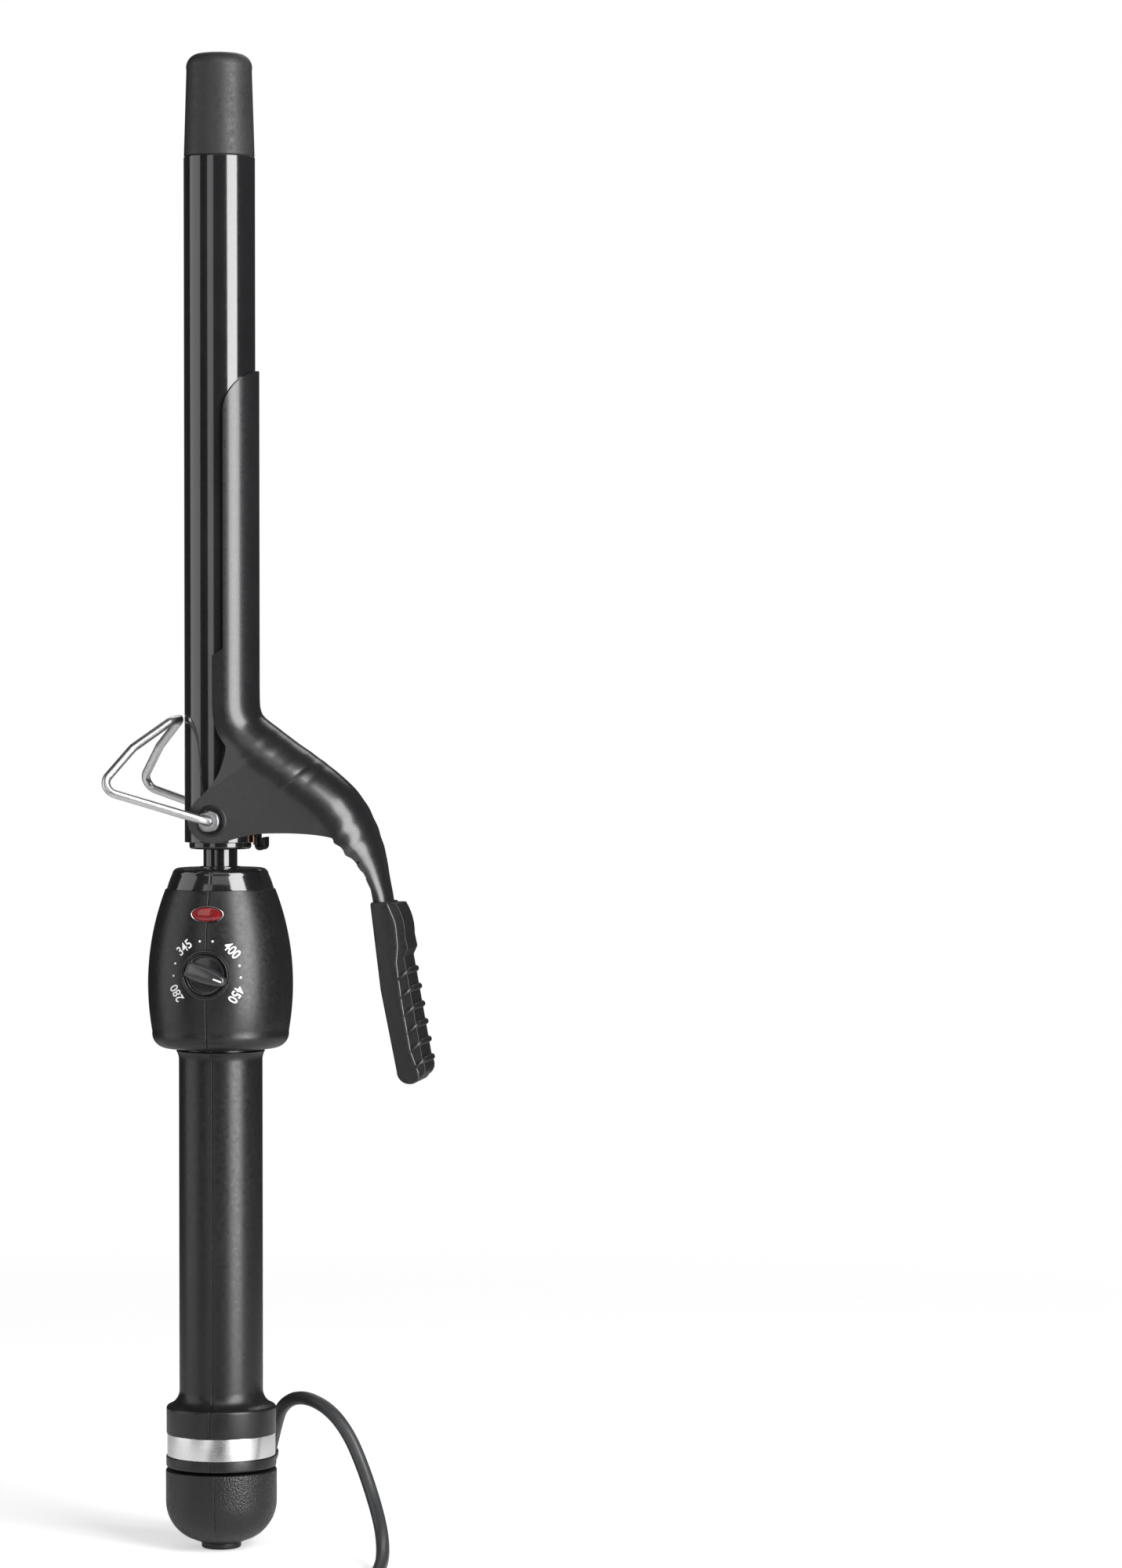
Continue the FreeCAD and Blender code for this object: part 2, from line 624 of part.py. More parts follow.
NODES = {
    "barrel": barrel,
    "cool_tip": cool_tip,
    "barrel_base_plug": barrel_base_plug,
    "core_tube": core_tube,
    "heater_block_front": lambda: heater_block(-1),
    "heater_block_back": lambda: heater_block(1),
    "ptc_heater": ptc_heater,
    "thermistor": thermistor,
    "thermal_fuse": thermal_fuse,
    "heater_leads": heater_leads,
    "pivot_boss_front": lambda: pivot_boss(-1),
    "pivot_boss_back": lambda: pivot_boss(1),
    "pivot_bush_front": lambda: pivot_bush(-1),
    "pivot_bush_back": lambda: pivot_bush(1),
    "clamp_lever": clamp_lever,
    "thumb_grip": thumb_grip,
    "spring_bracket": spring_bracket,
    "leaf_spring": leaf_spring,
    "spring_rivet": spring_rivet,
    "stand_wire": stand_wire,
    "handle_half_left": lambda: handle_half(-1),
    "handle_half_right": lambda: handle_half(1),
    "handle_screws": handle_screws,
    "nose_half_left": lambda: nose_half(-1),
    "nose_half_right": lambda: nose_half(1),
    "badge_band": badge_band,
    "indicator_lens": indicator_lens,
    "lens_bezel": lens_bezel,
    "indicator_led": indicator_led,
    "dial_knob": dial_knob,
    "dial_shaft": dial_shaft,
    "potentiometer": potentiometer,
    "control_board": control_board,
    "triac": triac,
    "filter_capacitor": filter_capacitor,
    "mains_leads": mains_leads,
    "swivel_cap_left": lambda: swivel_cap_half(-1),
    "swivel_cap_right": lambda: swivel_cap_half(1),
    "slip_ring_hub": slip_ring_hub,
    "slip_rings": slip_rings,
    "contact_brushes": contact_brushes,
    "brush_holder": brush_holder,
    "end_button": end_button,
    "cord_relief": cord_relief,
    "cord_lead": lambda: tube(LEAD, CORD_R, name="lead"),
    "cord_coil": cord_coil,
    "cord_tail": lambda: tube(TAIL, CORD_R, name="tail"),
    "cord_tie": cord_tie,
    "plug_body": plug_body,
    "plug_blades": plug_blades,
}


def main():
    os.makedirs("parts", exist_ok=True)
    for name, make in NODES.items():
        shape = make()
        sound = shape.isValid() and all(s.isClosed() for s in shape.Solids)
        note = "" if sound else "NOT SOUND"
        print(name, "solids", len(shape.Solids), "volume", round(shape.Volume, 1), note)
        shape.exportStep(f"parts/{name}.step")


main()
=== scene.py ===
import bmesh
import bpy
import math
from mathutils import Matrix, Vector


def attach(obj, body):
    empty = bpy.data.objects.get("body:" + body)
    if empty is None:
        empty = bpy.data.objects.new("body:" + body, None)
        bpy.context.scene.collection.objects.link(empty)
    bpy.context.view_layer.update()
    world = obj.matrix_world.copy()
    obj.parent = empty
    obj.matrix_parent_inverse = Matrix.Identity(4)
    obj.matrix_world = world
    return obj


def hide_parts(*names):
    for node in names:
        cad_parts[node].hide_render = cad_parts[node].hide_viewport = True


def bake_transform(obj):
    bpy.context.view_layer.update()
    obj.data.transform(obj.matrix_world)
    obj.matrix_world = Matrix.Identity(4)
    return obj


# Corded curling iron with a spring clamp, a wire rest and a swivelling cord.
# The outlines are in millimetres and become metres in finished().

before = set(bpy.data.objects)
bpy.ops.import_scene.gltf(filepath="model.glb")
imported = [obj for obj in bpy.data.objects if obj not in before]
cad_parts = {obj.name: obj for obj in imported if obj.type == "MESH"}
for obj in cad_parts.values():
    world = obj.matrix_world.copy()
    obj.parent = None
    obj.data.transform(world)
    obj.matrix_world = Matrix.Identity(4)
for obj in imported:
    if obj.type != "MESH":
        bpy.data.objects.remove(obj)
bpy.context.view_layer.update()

MM = 0.001
TAU = 2 * math.pi
PIVOT_Z = 195.6
VIEW_AZIMUTH = 12.0
DIAL_Z = 155.0
LENS_Z = 171.0
CORD_R = 1.8
SHEET = 0.9


# ---- outlines ----
def arc_points(a, b, c, n):
    """Points after a, up to c, on the circle through a, b and c."""
    (ax, ay), (bx, by), (cx, cy) = a, b, c
    d = 2 * (ax * (by - cy) + bx * (cy - ay) + cx * (ay - by))
    sa, sb, sc = ax * ax + ay * ay, bx * bx + by * by, cx * cx + cy * cy
    ux = (sa * (by - cy) + sb * (cy - ay) + sc * (ay - by)) / d
    uy = (sa * (cx - bx) + sb * (ax - cx) + sc * (bx - ax)) / d
    r = math.hypot(ax - ux, ay - uy)
    t0, t1, t2 = (math.atan2(y - uy, x - ux) for x, y in (a, b, c))
    left = (t1 - t0) % TAU < (t2 - t0) % TAU
    sweep = (t2 - t0) % TAU if left else -((t0 - t2) % TAU)
    return [(ux + r * math.cos(t0 + sweep * i / n), uy + r * math.sin(t0 + sweep * i / n))
            for i in range(1, n + 1)]


def drawn(steps, n=10):
    """The outline's points. A step that is a pair of points is an arc: (through, end)."""
    points = [steps[0]]
    for step in steps[1:]:
        if isinstance(step[0], tuple):
            points += arc_points(points[-1], step[0], step[1], n)
        else:
            points.append(step)
    return points


CORNER_STEPS = 4


def softened(points, r):
    """The outline with each corner rounded to radius r, or less where its sides are short."""
    result = []
    count = len(points)
    for i, here in enumerate(points):
        before, after = Vector(points[i - 1]), Vector(points[(i + 1) % count])
        p = Vector(here)
        u, v = before - p, after - p
        if u.length < 1e-6 or v.length < 1e-6:
            continue
        turn = math.pi - u.angle(v)
        on_axis = p.x < 1e-6
        if turn < math.radians(18) or on_axis:
            result.append(here)
            continue
        reach = min(r * math.tan(turn / 2), 0.4 * u.length, 0.4 * v.length)
        a, b = p + u.normalized() * reach, p + v.normalized() * reach
        for k in range(CORNER_STEPS + 1):
            t = k / CORNER_STEPS
            q = a * (1 - t) ** 2 + p * 2 * t * (1 - t) + b * t * t
            result.append((q.x, q.y))
    return result


# ---- meshes ----
def finished(name, bm, sharp=34.0):
    """An object in metres from a bmesh in millimetres, smooth but for edges sharper than the angle."""
    bmesh.ops.remove_doubles(bm, verts=bm.verts, dist=1e-4)
    bmesh.ops.recalc_face_normals(bm, faces=bm.faces)
    bmesh.ops.scale(bm, vec=(MM, MM, MM), verts=bm.verts)
    mesh = bpy.data.meshes.new(name)
    bm.to_mesh(mesh)
    bm.free()
    obj = bpy.data.objects.new(name, mesh)
    bpy.context.scene.collection.objects.link(obj)
    return smoothed(obj, sharp)


def smoothed(obj, sharp=34.0):
    mesh = obj.data
    mesh.polygons.foreach_set("use_smooth", [True] * len(mesh.polygons))
    mesh.set_sharp_from_angle(angle=math.radians(sharp))
    return obj


def grid(bm, rows, wrap_rows=False, wrap_cols=False):
    """Quads between equal rows of points."""
    verts = [[bm.verts.new(p) for p in row] for row in rows]
    n, m = len(rows), len(rows[0])
    for i in range(n if wrap_rows else n - 1):
        for j in range(m if wrap_cols else m - 1):
            a, b = verts[i][j], verts[i][(j + 1) % m]
            c, d = verts[(i + 1) % n][(j + 1) % m], verts[(i + 1) % n][j]
            if len({a, b, c, d}) == 4:
                bm.faces.new((a, b, c, d))
    return verts


def lathe(name, profile, seg=160, soft=0.15):
    """A closed (radius, z) outline turned about Z."""
    outline = softened(profile, soft) if soft else profile
    bm = bmesh.new()
    rows = []
    for i in range(seg):
        a = TAU * i / seg
        rows.append([(r * math.cos(a), r * math.sin(a), z) for r, z in outline])
    grid(bm, rows, wrap_rows=True, wrap_cols=True)
    return finished(name, bm)


def half_lathe(name, profile, side, turn=0.0, seg=110, soft=0.15, gap=0.05, lip=0.22):
    """Half of a turned shell. Its edges along the seam are rounded, so that the joint line shows."""
    outline = softened(profile, soft) if soft else profile
    start = 90 + turn if side < 0 else -90 + turn
    widest = max(r for r, _ in outline)
    steps = [(0.0, 1.0), (0.25, 0.45), (0.55, 0.16), (1.0, 0.0)]
    angles = [(gap + lip * s, lip * d) for s, d in steps]
    bm = bmesh.new()
    rows = []

    def row(a, inset):
        return [(max(r - inset, 0) * math.cos(a), max(r - inset, 0) * math.sin(a), z) for r, z in outline]

    first = math.radians(start)
    last = math.radians(start + 180)
    for off, inset in angles:
        rows.append(row(first + off / widest, inset))
    inner = (gap + lip) / widest
    for i in range(1, seg):
        rows.append(row(first + inner + (math.pi - 2 * inner) * i / seg, 0))
    for off, inset in reversed(angles):
        rows.append(row(last - off / widest, inset))
    verts = grid(bm, rows, wrap_cols=True)
    bm.faces.new(verts[0])
    bm.faces.new(verts[-1])
    return finished(name, bm)


def prism(name, outline, y0, y1, bevel=0.0, segments=4):
    """A plate from (x, z) points between two planes across Y, its edges rounded."""
    bm = bmesh.new()
    near = [bm.verts.new((x, y0, z)) for x, z in outline]
    far = [bm.verts.new((x, y1, z)) for x, z in outline]
    bm.faces.new(near)
    bm.faces.new(far)
    n = len(outline)
    for i in range(n):
        j = (i + 1) % n
        bm.faces.new((near[i], near[j], far[j], far[i]))
    bmesh.ops.recalc_face_normals(bm, faces=bm.faces)
    if bevel:
        rim = [e for e in bm.edges if len(e.link_faces) == 2 and e.calc_face_angle(0) > math.radians(45)]
        bmesh.ops.bevel(bm, geom=rim, offset=bevel, segments=segments, profile=0.5, affect="EDGES",
                        clamp_overlap=True)
    return finished(name, bm)


def brick(name, lo, hi, bevel=0.3, segments=3):
    x0, y0, z0 = lo
    x1, y1, z1 = hi
    return prism(name, [(x0, z0), (x1, z0), (x1, z1), (x0, z1)], y0, y1, bevel, segments)


def rod(name, r, start, end, soft=0.15, seg=64, rows=None):
    """A round bar from start to end, or a turned piece from (radius, distance) rows along that line."""
    a, b = Vector(start), Vector(end)
    length = (b - a).length
    rows = rows or [(0, 0), (r, 0), (r, length), (0, length)]
    obj = lathe(name, rows, seg, soft)
    place = Matrix.Translation(a * MM) @ (b - a).to_track_quat("Z", "Y").to_matrix().to_4x4()
    obj.data.transform(place)
    return obj


def rounded_route(points, bend, step=6.0):
    """Dense points along straight runs joined by arcs of the given radius."""
    corners = [Vector(p) for p in points]
    route = [corners[0]]
    for before, here, after in zip(corners, corners[1:], corners[2:]):
        into, out = (here - before).normalized(), (after - here).normalized()
        half = into.angle(out) / 2
        if half < 1e-3:
            continue
        reach = min(bend * math.tan(half), 0.48 * (here - before).length, 0.48 * (after - here).length)
        r = reach / math.tan(half)
        inward = (out - into).normalized()
        centre = here + inward * (r / math.cos(half))
        normal = into.cross(out).normalized()
        spoke = here - into * reach - centre
        n = max(2, int(math.degrees(2 * half) / step))
        for i in range(n + 1):
            route.append(centre + Matrix.Rotation(2 * half * i / n, 3, normal) @ spoke)
    route.append(corners[-1])
    return route


def sweep(name, route, r, sides=32, taper=None):
    """A round bar along a dense route. Its radius may be a function of the share of the way."""
    taper = taper or (lambda share: r)
    bm = bmesh.new()
    rows = []
    side = None
    for i, p in enumerate(route):
        ahead = route[min(i + 1, len(route) - 1)] - route[max(i - 1, 0)]
        t = ahead.normalized()
        if side is None:
            side = t.orthogonal().normalized()
        side = (side - t * side.dot(t)).normalized()
        up = t.cross(side)
        thick = taper(i / (len(route) - 1))
        rows.append([p + (side * math.cos(TAU * k / sides) + up * math.sin(TAU * k / sides)) * thick
                     for k in range(sides)])
    verts = grid(bm, rows, wrap_cols=True)
    bm.faces.new(verts[0])
    bm.faces.new(verts[-1])
    return finished(name, bm)


def applied(obj):
    """The object with its modifiers made permanent."""
    bpy.context.view_layer.update()
    graph = bpy.context.evaluated_depsgraph_get()
    mesh = bpy.data.meshes.new_from_object(obj.evaluated_get(graph))
    obj.modifiers.clear()
    obj.data = mesh
    return obj


def combined(obj, cutter):
    """The object with the cutter taken away from it."""
    m = obj.modifiers.new("shape", "BOOLEAN")
    m.operation = "DIFFERENCE"
    m.solver = "EXACT"
    m.object = cutter
    applied(obj)
    bpy.data.objects.remove(cutter)
    return smoothed(obj)


# ---- materials ----
class Nodes:
    def __init__(self, name):
        self.mat = bpy.data.materials.new(name)
        self.mat.use_nodes = True
        self.tree = self.mat.node_tree
        self.tree.nodes.clear()
        self.out = self.add("ShaderNodeOutputMaterial")
        self.bsdf = self.add("ShaderNodeBsdfPrincipled")
        self.link(self.bsdf.outputs[0], self.out.inputs[0])
        self.coord = self.add("ShaderNodeTexCoord")

    def add(self, kind, **values):
        node = self.tree.nodes.new(kind)
        for key, value in values.items():
            setattr(node, key, value)
        return node

    def link(self, a, b):
        self.tree.links.new(a, b)

    def put(self, **values):
        for key, value in values.items():
            self.bsdf.inputs[key.replace("_", " ")].default_value = value

    def noise(self, scale, detail=4.0, rough=0.55, stretch=(1, 1, 1)):
        mapping = self.add("ShaderNodeMapping")
        mapping.inputs["Scale"].default_value = stretch
        self.link(self.coord.outputs["Object"], mapping.inputs["Vector"])
        tex = self.add("ShaderNodeTexNoise")
        tex.inputs["Scale"].default_value = scale
        tex.inputs["Detail"].default_value = detail
        tex.inputs["Roughness"].default_value = rough
        self.link(mapping.outputs[0], tex.inputs["Vector"])
        return tex.outputs["Fac"]

    def cells(self, scale):
        tex = self.add("ShaderNodeTexVoronoi", feature="F1")
        tex.inputs["Scale"].default_value = scale
        self.link(self.coord.outputs["Object"], tex.inputs["Vector"])
        return tex.outputs["Distance"]

    def ramp(self, value, stops):
        node = self.add("ShaderNodeValToRGB")
        els = node.color_ramp.elements
        while len(els) < len(stops):
            els.new(0.5)
        for el, (pos, colour) in zip(els, stops):
            el.position = pos
            el.color = (*colour, 1) if isinstance(colour, tuple) else (colour, colour, colour, 1)
        self.link(value, node.inputs[0])
        return node.outputs[0]

    def scaled(self, value, low, high, a=0.3, b=0.7):
        node = self.add("ShaderNodeMapRange")
        for key, v in (("From Min", a), ("From Max", b), ("To Min", low), ("To Max", high)):
            node.inputs[key].default_value = v
        self.link(value, node.inputs["Value"])
        return node.outputs[0]

    def bump(self, value, depth, strength=1.0, under=None):
        node = self.add("ShaderNodeBump")
        node.inputs["Strength"].default_value = strength
        node.inputs["Distance"].default_value = depth
        self.link(value, node.inputs["Height"])
        if under:
            self.link(under, node.inputs["Normal"])
        return node.outputs[0]


def surface(name, colour, rough, metal=0.0, coat=0.0, coat_rough=0.03, grain=0.0, grain_scale=3000.0,
            wave=0.0, wave_scale=60.0, vary=0.25, shade=0.12, stretch=(1, 1, 1), pebbled=False, **extra):
    """A material with uneven colour and roughness, a fine grain and a slow waviness."""
    n = Nodes(name)
    n.put(Metallic=metal, Coat_Weight=coat, Coat_Roughness=coat_rough, **extra)
    slow = n.noise(wave_scale, 5.0, 0.6, stretch)
    dark = tuple(c * (1 - shade) for c in colour)
    light = tuple(min(1, c * (1 + shade)) for c in colour)
    n.link(n.ramp(slow, [(0.3, dark), (0.7, light)]), n.bsdf.inputs["Base Color"])
    fine = n.noise(wave_scale * 14, 6.0, 0.65, stretch)
    n.link(n.scaled(fine, rough * (1 - vary), rough * (1 + vary)), n.bsdf.inputs["Roughness"])
    normal = n.bump(slow, wave) if wave else None
    if grain:
        tex = n.cells(grain_scale) if pebbled else n.noise(grain_scale, 3.0, 0.5, stretch)
        normal = n.bump(tex, grain, 0.9, normal)
    if normal:
        n.link(normal, n.bsdf.inputs["Normal"])
    return n.mat


M = {
    "enamel": surface("black_gloss_enamel", (0.011, 0.011, 0.012), 0.16, coat=1.0, coat_rough=0.045,
                      wave=0.00002, wave_scale=45, shade=0.2),
    "lever": surface("black_gloss_lever", (0.011, 0.011, 0.012), 0.3, coat=0.5, coat_rough=0.2, vary=0.15,
                     shade=0.2),
    "nose": surface("black_gloss_nose", (0.010, 0.010, 0.011), 0.15, coat=1.0, coat_rough=0.04, shade=0.2),
    "tip": surface("cool_tip_black", (0.026, 0.026, 0.027), 0.5, grain=0.00003, grain_scale=2600,
                   shade=0.15, Specular_IOR_Level=0.45),
    "soft": surface("soft_touch_black", (0.009, 0.009, 0.0095), 0.34, grain=0.000008, grain_scale=4500,
                    wave=0.00001, shade=0.15, Specular_IOR_Level=0.5),
    "grip": surface("lever_grip_black", (0.011, 0.011, 0.012), 0.36, grain=0.000015, grain_scale=3500,
                    shade=0.15),
    "bead": surface("grip_bead_black", (0.03, 0.03, 0.032), 0.22, coat=0.6, coat_rough=0.12, grain=0.000004,
                    shade=0.15),
    "cap": surface("pebbled_black", (0.010, 0.010, 0.0105), 0.38, grain=0.00012, grain_scale=2000,
                   pebbled=True, shade=0.2),
    "button": surface("button_black", (0.008, 0.008, 0.008), 0.4, grain=0.00001, shade=0.3),
    "bush": surface("bush_black", (0.006, 0.006, 0.006), 0.35, grain=0.00001, shade=0.3),
    "steel": surface("bright_wire", (0.72, 0.72, 0.73), 0.34, metal=1.0, vary=0.12, shade=0.05),
    "stud": surface("pivot_stud", (0.30, 0.30, 0.31), 0.22, metal=1.0, grain=0.000004, shade=0.2),
    "dark_steel": surface("hook_dark_steel", (0.03, 0.03, 0.032), 0.3, metal=1.0, grain=0.00001, shade=0.3),
    "bronze": surface("spring_bronze", (0.55, 0.34, 0.20), 0.28, metal=1.0, grain=0.000004, shade=0.2),
    "band": surface("band_silver", (0.84, 0.84, 0.85), 0.24, metal=1.0, grain=0.000003,
                    grain_scale=5000, stretch=(1, 1, 14), vary=0.3, shade=0.04),
    "bezel": surface("bezel_silver", (0.34, 0.34, 0.35), 0.24, metal=1.0, grain=0.000002, shade=0.06),
    "dial": surface("dial_black", (0.007, 0.007, 0.008), 0.26, coat=0.4, coat_rough=0.08, shade=0.2),
    "wing": surface("dial_wing_black", (0.03, 0.03, 0.032), 0.24, coat=0.8, coat_rough=0.12, grain=0.000004,
                    shade=0.2),
    # Dial rim: its grey metal, lighter than the black knob, is a painted highlight for the light caught on
    # the knob's edge.
    "dial_rim": surface("dial_rim_painted_highlight_grey", (0.12, 0.12, 0.125), 0.3, metal=1.0, shade=0.1),
    "print": surface("scale_white", (0.86, 0.86, 0.86), 0.5, grain=0.000006, grain_scale=4000, shade=0.05),
    "cord": surface("cord_black", (0.045, 0.046, 0.048), 0.34, grain=0.00002, grain_scale=1500,
                    wave=0.00003, wave_scale=120, shade=0.18),
    "tie": surface("tie_black", (0.02, 0.02, 0.02), 0.6, grain=0.00006, grain_scale=1800, shade=0.3),
    "alu": surface("cast_aluminium", (0.70, 0.70, 0.71), 0.4, metal=1.0, grain=0.00001, shade=0.1),
    "core": surface("drawn_steel", (0.5, 0.5, 0.52), 0.3, metal=1.0, grain=0.00001,
                    stretch=(1, 1, 0.05), shade=0.12),
    "ceramic": surface("ceramic_white", (0.78, 0.75, 0.68), 0.6, grain=0.00003, shade=0.08),
    "board": surface("board_green", (0.03, 0.14, 0.07), 0.4, grain=0.00002, shade=0.3),
    "part": surface("part_black", (0.03, 0.03, 0.03), 0.4, grain=0.00002, shade=0.2),
    "lead": surface("lead_red", (0.45, 0.04, 0.03), 0.45, grain=0.00002, shade=0.15),
}


def red_lens():
    n = Nodes("lens_red")
    n.put(Coat_Weight=1.0, Coat_Roughness=0.03, Transmission_Weight=0.25, Subsurface_Weight=0.1)
    deep = n.noise(420, 3.0, 0.5)
    n.link(n.ramp(deep, [(0.3, (0.14, 0.002, 0.004)), (0.7, (0.36, 0.006, 0.009))]),
           n.bsdf.inputs["Base Color"])
    n.link(n.scaled(n.noise(2400), 0.10, 0.2), n.bsdf.inputs["Roughness"])
    ribs = n.noise(1600, 1.0, 0.4, (6, 1, 1))
    n.link(n.bump(ribs, 0.00004), n.bsdf.inputs["Normal"])
    return n.mat


M["lens"] = red_lens()


def make(obj, material, body, *nodes):
    """Gives a piece its material, its body and the CAD nodes that it stands for."""
    obj.data.materials.clear()
    obj.data.materials.append(M[material])
    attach(obj, body)
    if nodes:
        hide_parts(*nodes)
    return obj


# ---- barrel ----
def barrel():
    wall = [(8.525, 189.6), (9.525, 189.6), (9.525, 372.5), (8.525, 372.5)]
    make(lathe("barrel", wall, 192, 0.2), "enamel", "handle", "barrel")
    tip = drawn([(0, 363.0), (8.475, 363.0), (8.475, 372.5), (9.2, 372.55), (9.45, 372.9), (9.2, 381.0),
                 (8.75, 395.6), ((7.85, 398.9), (5.4, 400.1)), (2.6, 400.38), (0, 400.38)], 14)
    make(lathe("cool_tip", tip, 160, 0.12), "tip", "handle", "cool_tip")
    collar = drawn([(3.4, 187.8), (7.5, 187.8), ((8.1, 188.05), (8.3, 188.7)), (8.3, 189.6), (8.525, 189.6),
                    (8.525, 192.4), (3.4, 192.4)])
    make(lathe("barrel_base_plug", collar, 128, 0.08), "enamel", "handle", "barrel_base_plug")


# ---- clamp ----
# Rows of the lever: its back, its edge, its half width and the radius of its back's corners.
# Heights are over the pivot.
LEVER_ROWS = [
    (10.6, 44.0, 2.9, 44.0, 10.6, 10.6), (10.6, 36.0, 2.95, 36.0, 10.6, 10.6),
    (10.65, 31.5, 3.0, 30.5, 10.7, 10.6), (10.85, 29.6, 3.3, 26.5, 10.85, 10.7),
    (11.4, 28.2, 3.75, 22.3, 11.1, 10.9), (12.3, 27.2, 3.85, 19.6, 11.35, 11.1),
    (13.95, 25.9, 3.4, 16.6, 11.6, 11.3), (15.6, 24.7, 2.3, 13.2, 11.8, 11.5),
    (17.3, 23.4, 0.6, 10.2, 11.9, 11.7), (19.0, 22.15, -1.8, 7.4, 12.0, 11.8),
    (20.8, 20.8, -4.4, 5.0, 12.0, 11.8), (22.1, 19.9, -6.0, 2.2, 12.0, 11.8),
    (23.3, 19.1, -6.3, -0.6, 12.0, 11.8), (24.5, 18.3, -5.2, -3.4, 12.0, 11.8),
    (25.7, 17.4, -2.8, -5.3, 12.0, 11.8), (26.9, 16.5, 0.4, -5.9, 12.0, 11.8),
    (28.0, 15.8, 3.6, -5.5, 12.0, 11.8), (29.6, 14.5, 8.0, -4.3, 12.0, 11.8),
    (31.2, 13.3, 13.0, -3.4, 12.0, 11.7), (34.2, 10.7, 20.0, -3.2, 12.0, 11.5),
    (36.7, 8.2, 25.5, -3.4, 12.0, 11.2), (38.5, 5.7, 29.5, -3.8, 12.0, 10.8),
    (40.1, 3.2, 32.6, -4.4, 11.9, 10.2), (41.2, 0.6, 34.9, -5.4, 11.5, 9.4),
    (42.4, -1.9, 36.8, -6.8, 10.9, 8.5), (43.1, -4.4, 38.3, -8.3, 10.1, 7.5),
    (44.0, -6.9, 39.5, -10.2, 9.2, 6.5), (44.6, -9.5, 40.4, -12.2, 8.4, 5.7),
    (45.1, -12.0, 41.1, -14.2, 7.6, 4.9), (45.5, -14.5, 41.7, -16.5, 7.0, 4.4),
    (46.0, -17.1, 42.2, -18.9, 6.5, 4.0), (46.5, -19.6, 42.6, -21.3, 6.2, 3.7),
    (46.9, -22.4, 43.0, -23.6, 6.0, 3.6),
]
SPOON_EDGE = math.radians(74.1)
SHOULDER_Z = 304.3
SPOON_TIP = 11.2


def smooth_rows(rows, per):
    """Catmull-Rom rows between the given ones."""
    result = []
    last = len(rows) - 1
    for i in range(last):
        p0, p1, p2, p3 = (rows[max(0, min(last, i + k))] for k in (-1, 0, 1, 2))
        for j in range(per):
            t = j / per
            result.append(tuple(
                0.5 * (2 * b + (c - a) * t + (2 * a - 5 * b + 4 * c - d) * t * t
                       + (3 * b - a - 3 * c + d) * t ** 3)
                for a, b, c, d in zip(p0, p1, p2, p3)))
    result.append(rows[-1])
    return result


def across(w, r, depth, share):
    """(y, depth) on a D-shaped section, at a share of the way from the middle of its back to its edge.
    The rounded back takes the same share of every section, so that the fold runs along the mesh."""
    flat = w - r
    turn = math.acos(1 - depth / r) if depth < r else math.pi / 2
    wall = max(0.0, depth - r)
    back = flat + r * turn
    total = back + wall
    fold = 0.72
    knee = min(back, fold * total)
    s = knee * share / fold if share < fold else knee + (total - knee) * (share - fold) / (1 - fold)
    if s < flat:
        return s, 0.0
    s -= flat
    if s < r * turn:
        return flat + r * math.sin(s / r), r * (1 - math.cos(s / r))
    return w, r + s - r * turn


def clamp_lever():
    half = 50
    shares = [i / half for i in range(-half, half + 1)]
    outer, inner = [], []
    low = PIVOT_Z + 44.0
    spoon_steps = 36
    for i in range(spoon_steps):
        f = 1 - i / spoon_steps
        for rows, r in ((outer, 10.6), (inner, 10.6 - SHEET)):
            row = []
            for t in shares:
                u = math.sin(t * math.pi / 2)
                a = u * SPOON_EDGE
                top = SHOULDER_Z + SPOON_TIP * math.sqrt(max(0.0, 1 - u * u))
                row.append(Vector((r * math.cos(a), r * math.sin(a), low + (top - low) * f)))
            rows.append(row)
    fine = smooth_rows(LEVER_ROWS, 5)
    last = len(fine) - 1
    for k, (sx, sz, ex, ez, w, r) in enumerate(fine):
        back, edge = Vector((sx, 0, sz)), Vector((ex, 0, ez))
        ahead, behind = fine[min(k + 1, last)], fine[max(k - 1, 0)]
        along = Vector((ahead[0] - behind[0], 0, ahead[1] - behind[1])).normalized()
        down = (edge - back).normalized()
        skew = math.sqrt(max(0.2, 1 - along.dot(down) ** 2))
        depth = (edge - back).length * skew
        mix = min(1.0, k / 20)
        for rows, inset in ((outer, 0.0), (inner, SHEET)):
            row = []
            for t in shares:
                u = math.sin(t * math.pi / 2) * (1 - mix) + t * mix
                y, d = across(w - inset, max(r - inset, 0.5), max(depth - inset, 0.3), abs(u))
                row.append(back + down * ((d + inset) / skew) + Vector((0, math.copysign(y, u), PIVOT_Z)))
            rows.append(row)
    bm = bmesh.new()
    skin = grid(bm, outer)
    lining = grid(bm, inner)
    for i in range(len(outer) - 1):
        for j in (0, -1):
            bm.faces.new((skin[i][j], skin[i + 1][j], lining[i + 1][j], lining[i][j]))
    for j in range(len(shares) - 1):
        for i in (0, -1):
            bm.faces.new((skin[i][j], skin[i][j + 1], lining[i][j + 1], lining[i][j]))
    make(finished("clamp_lever", bm, 50), "lever", "clamp", "clamp_lever")


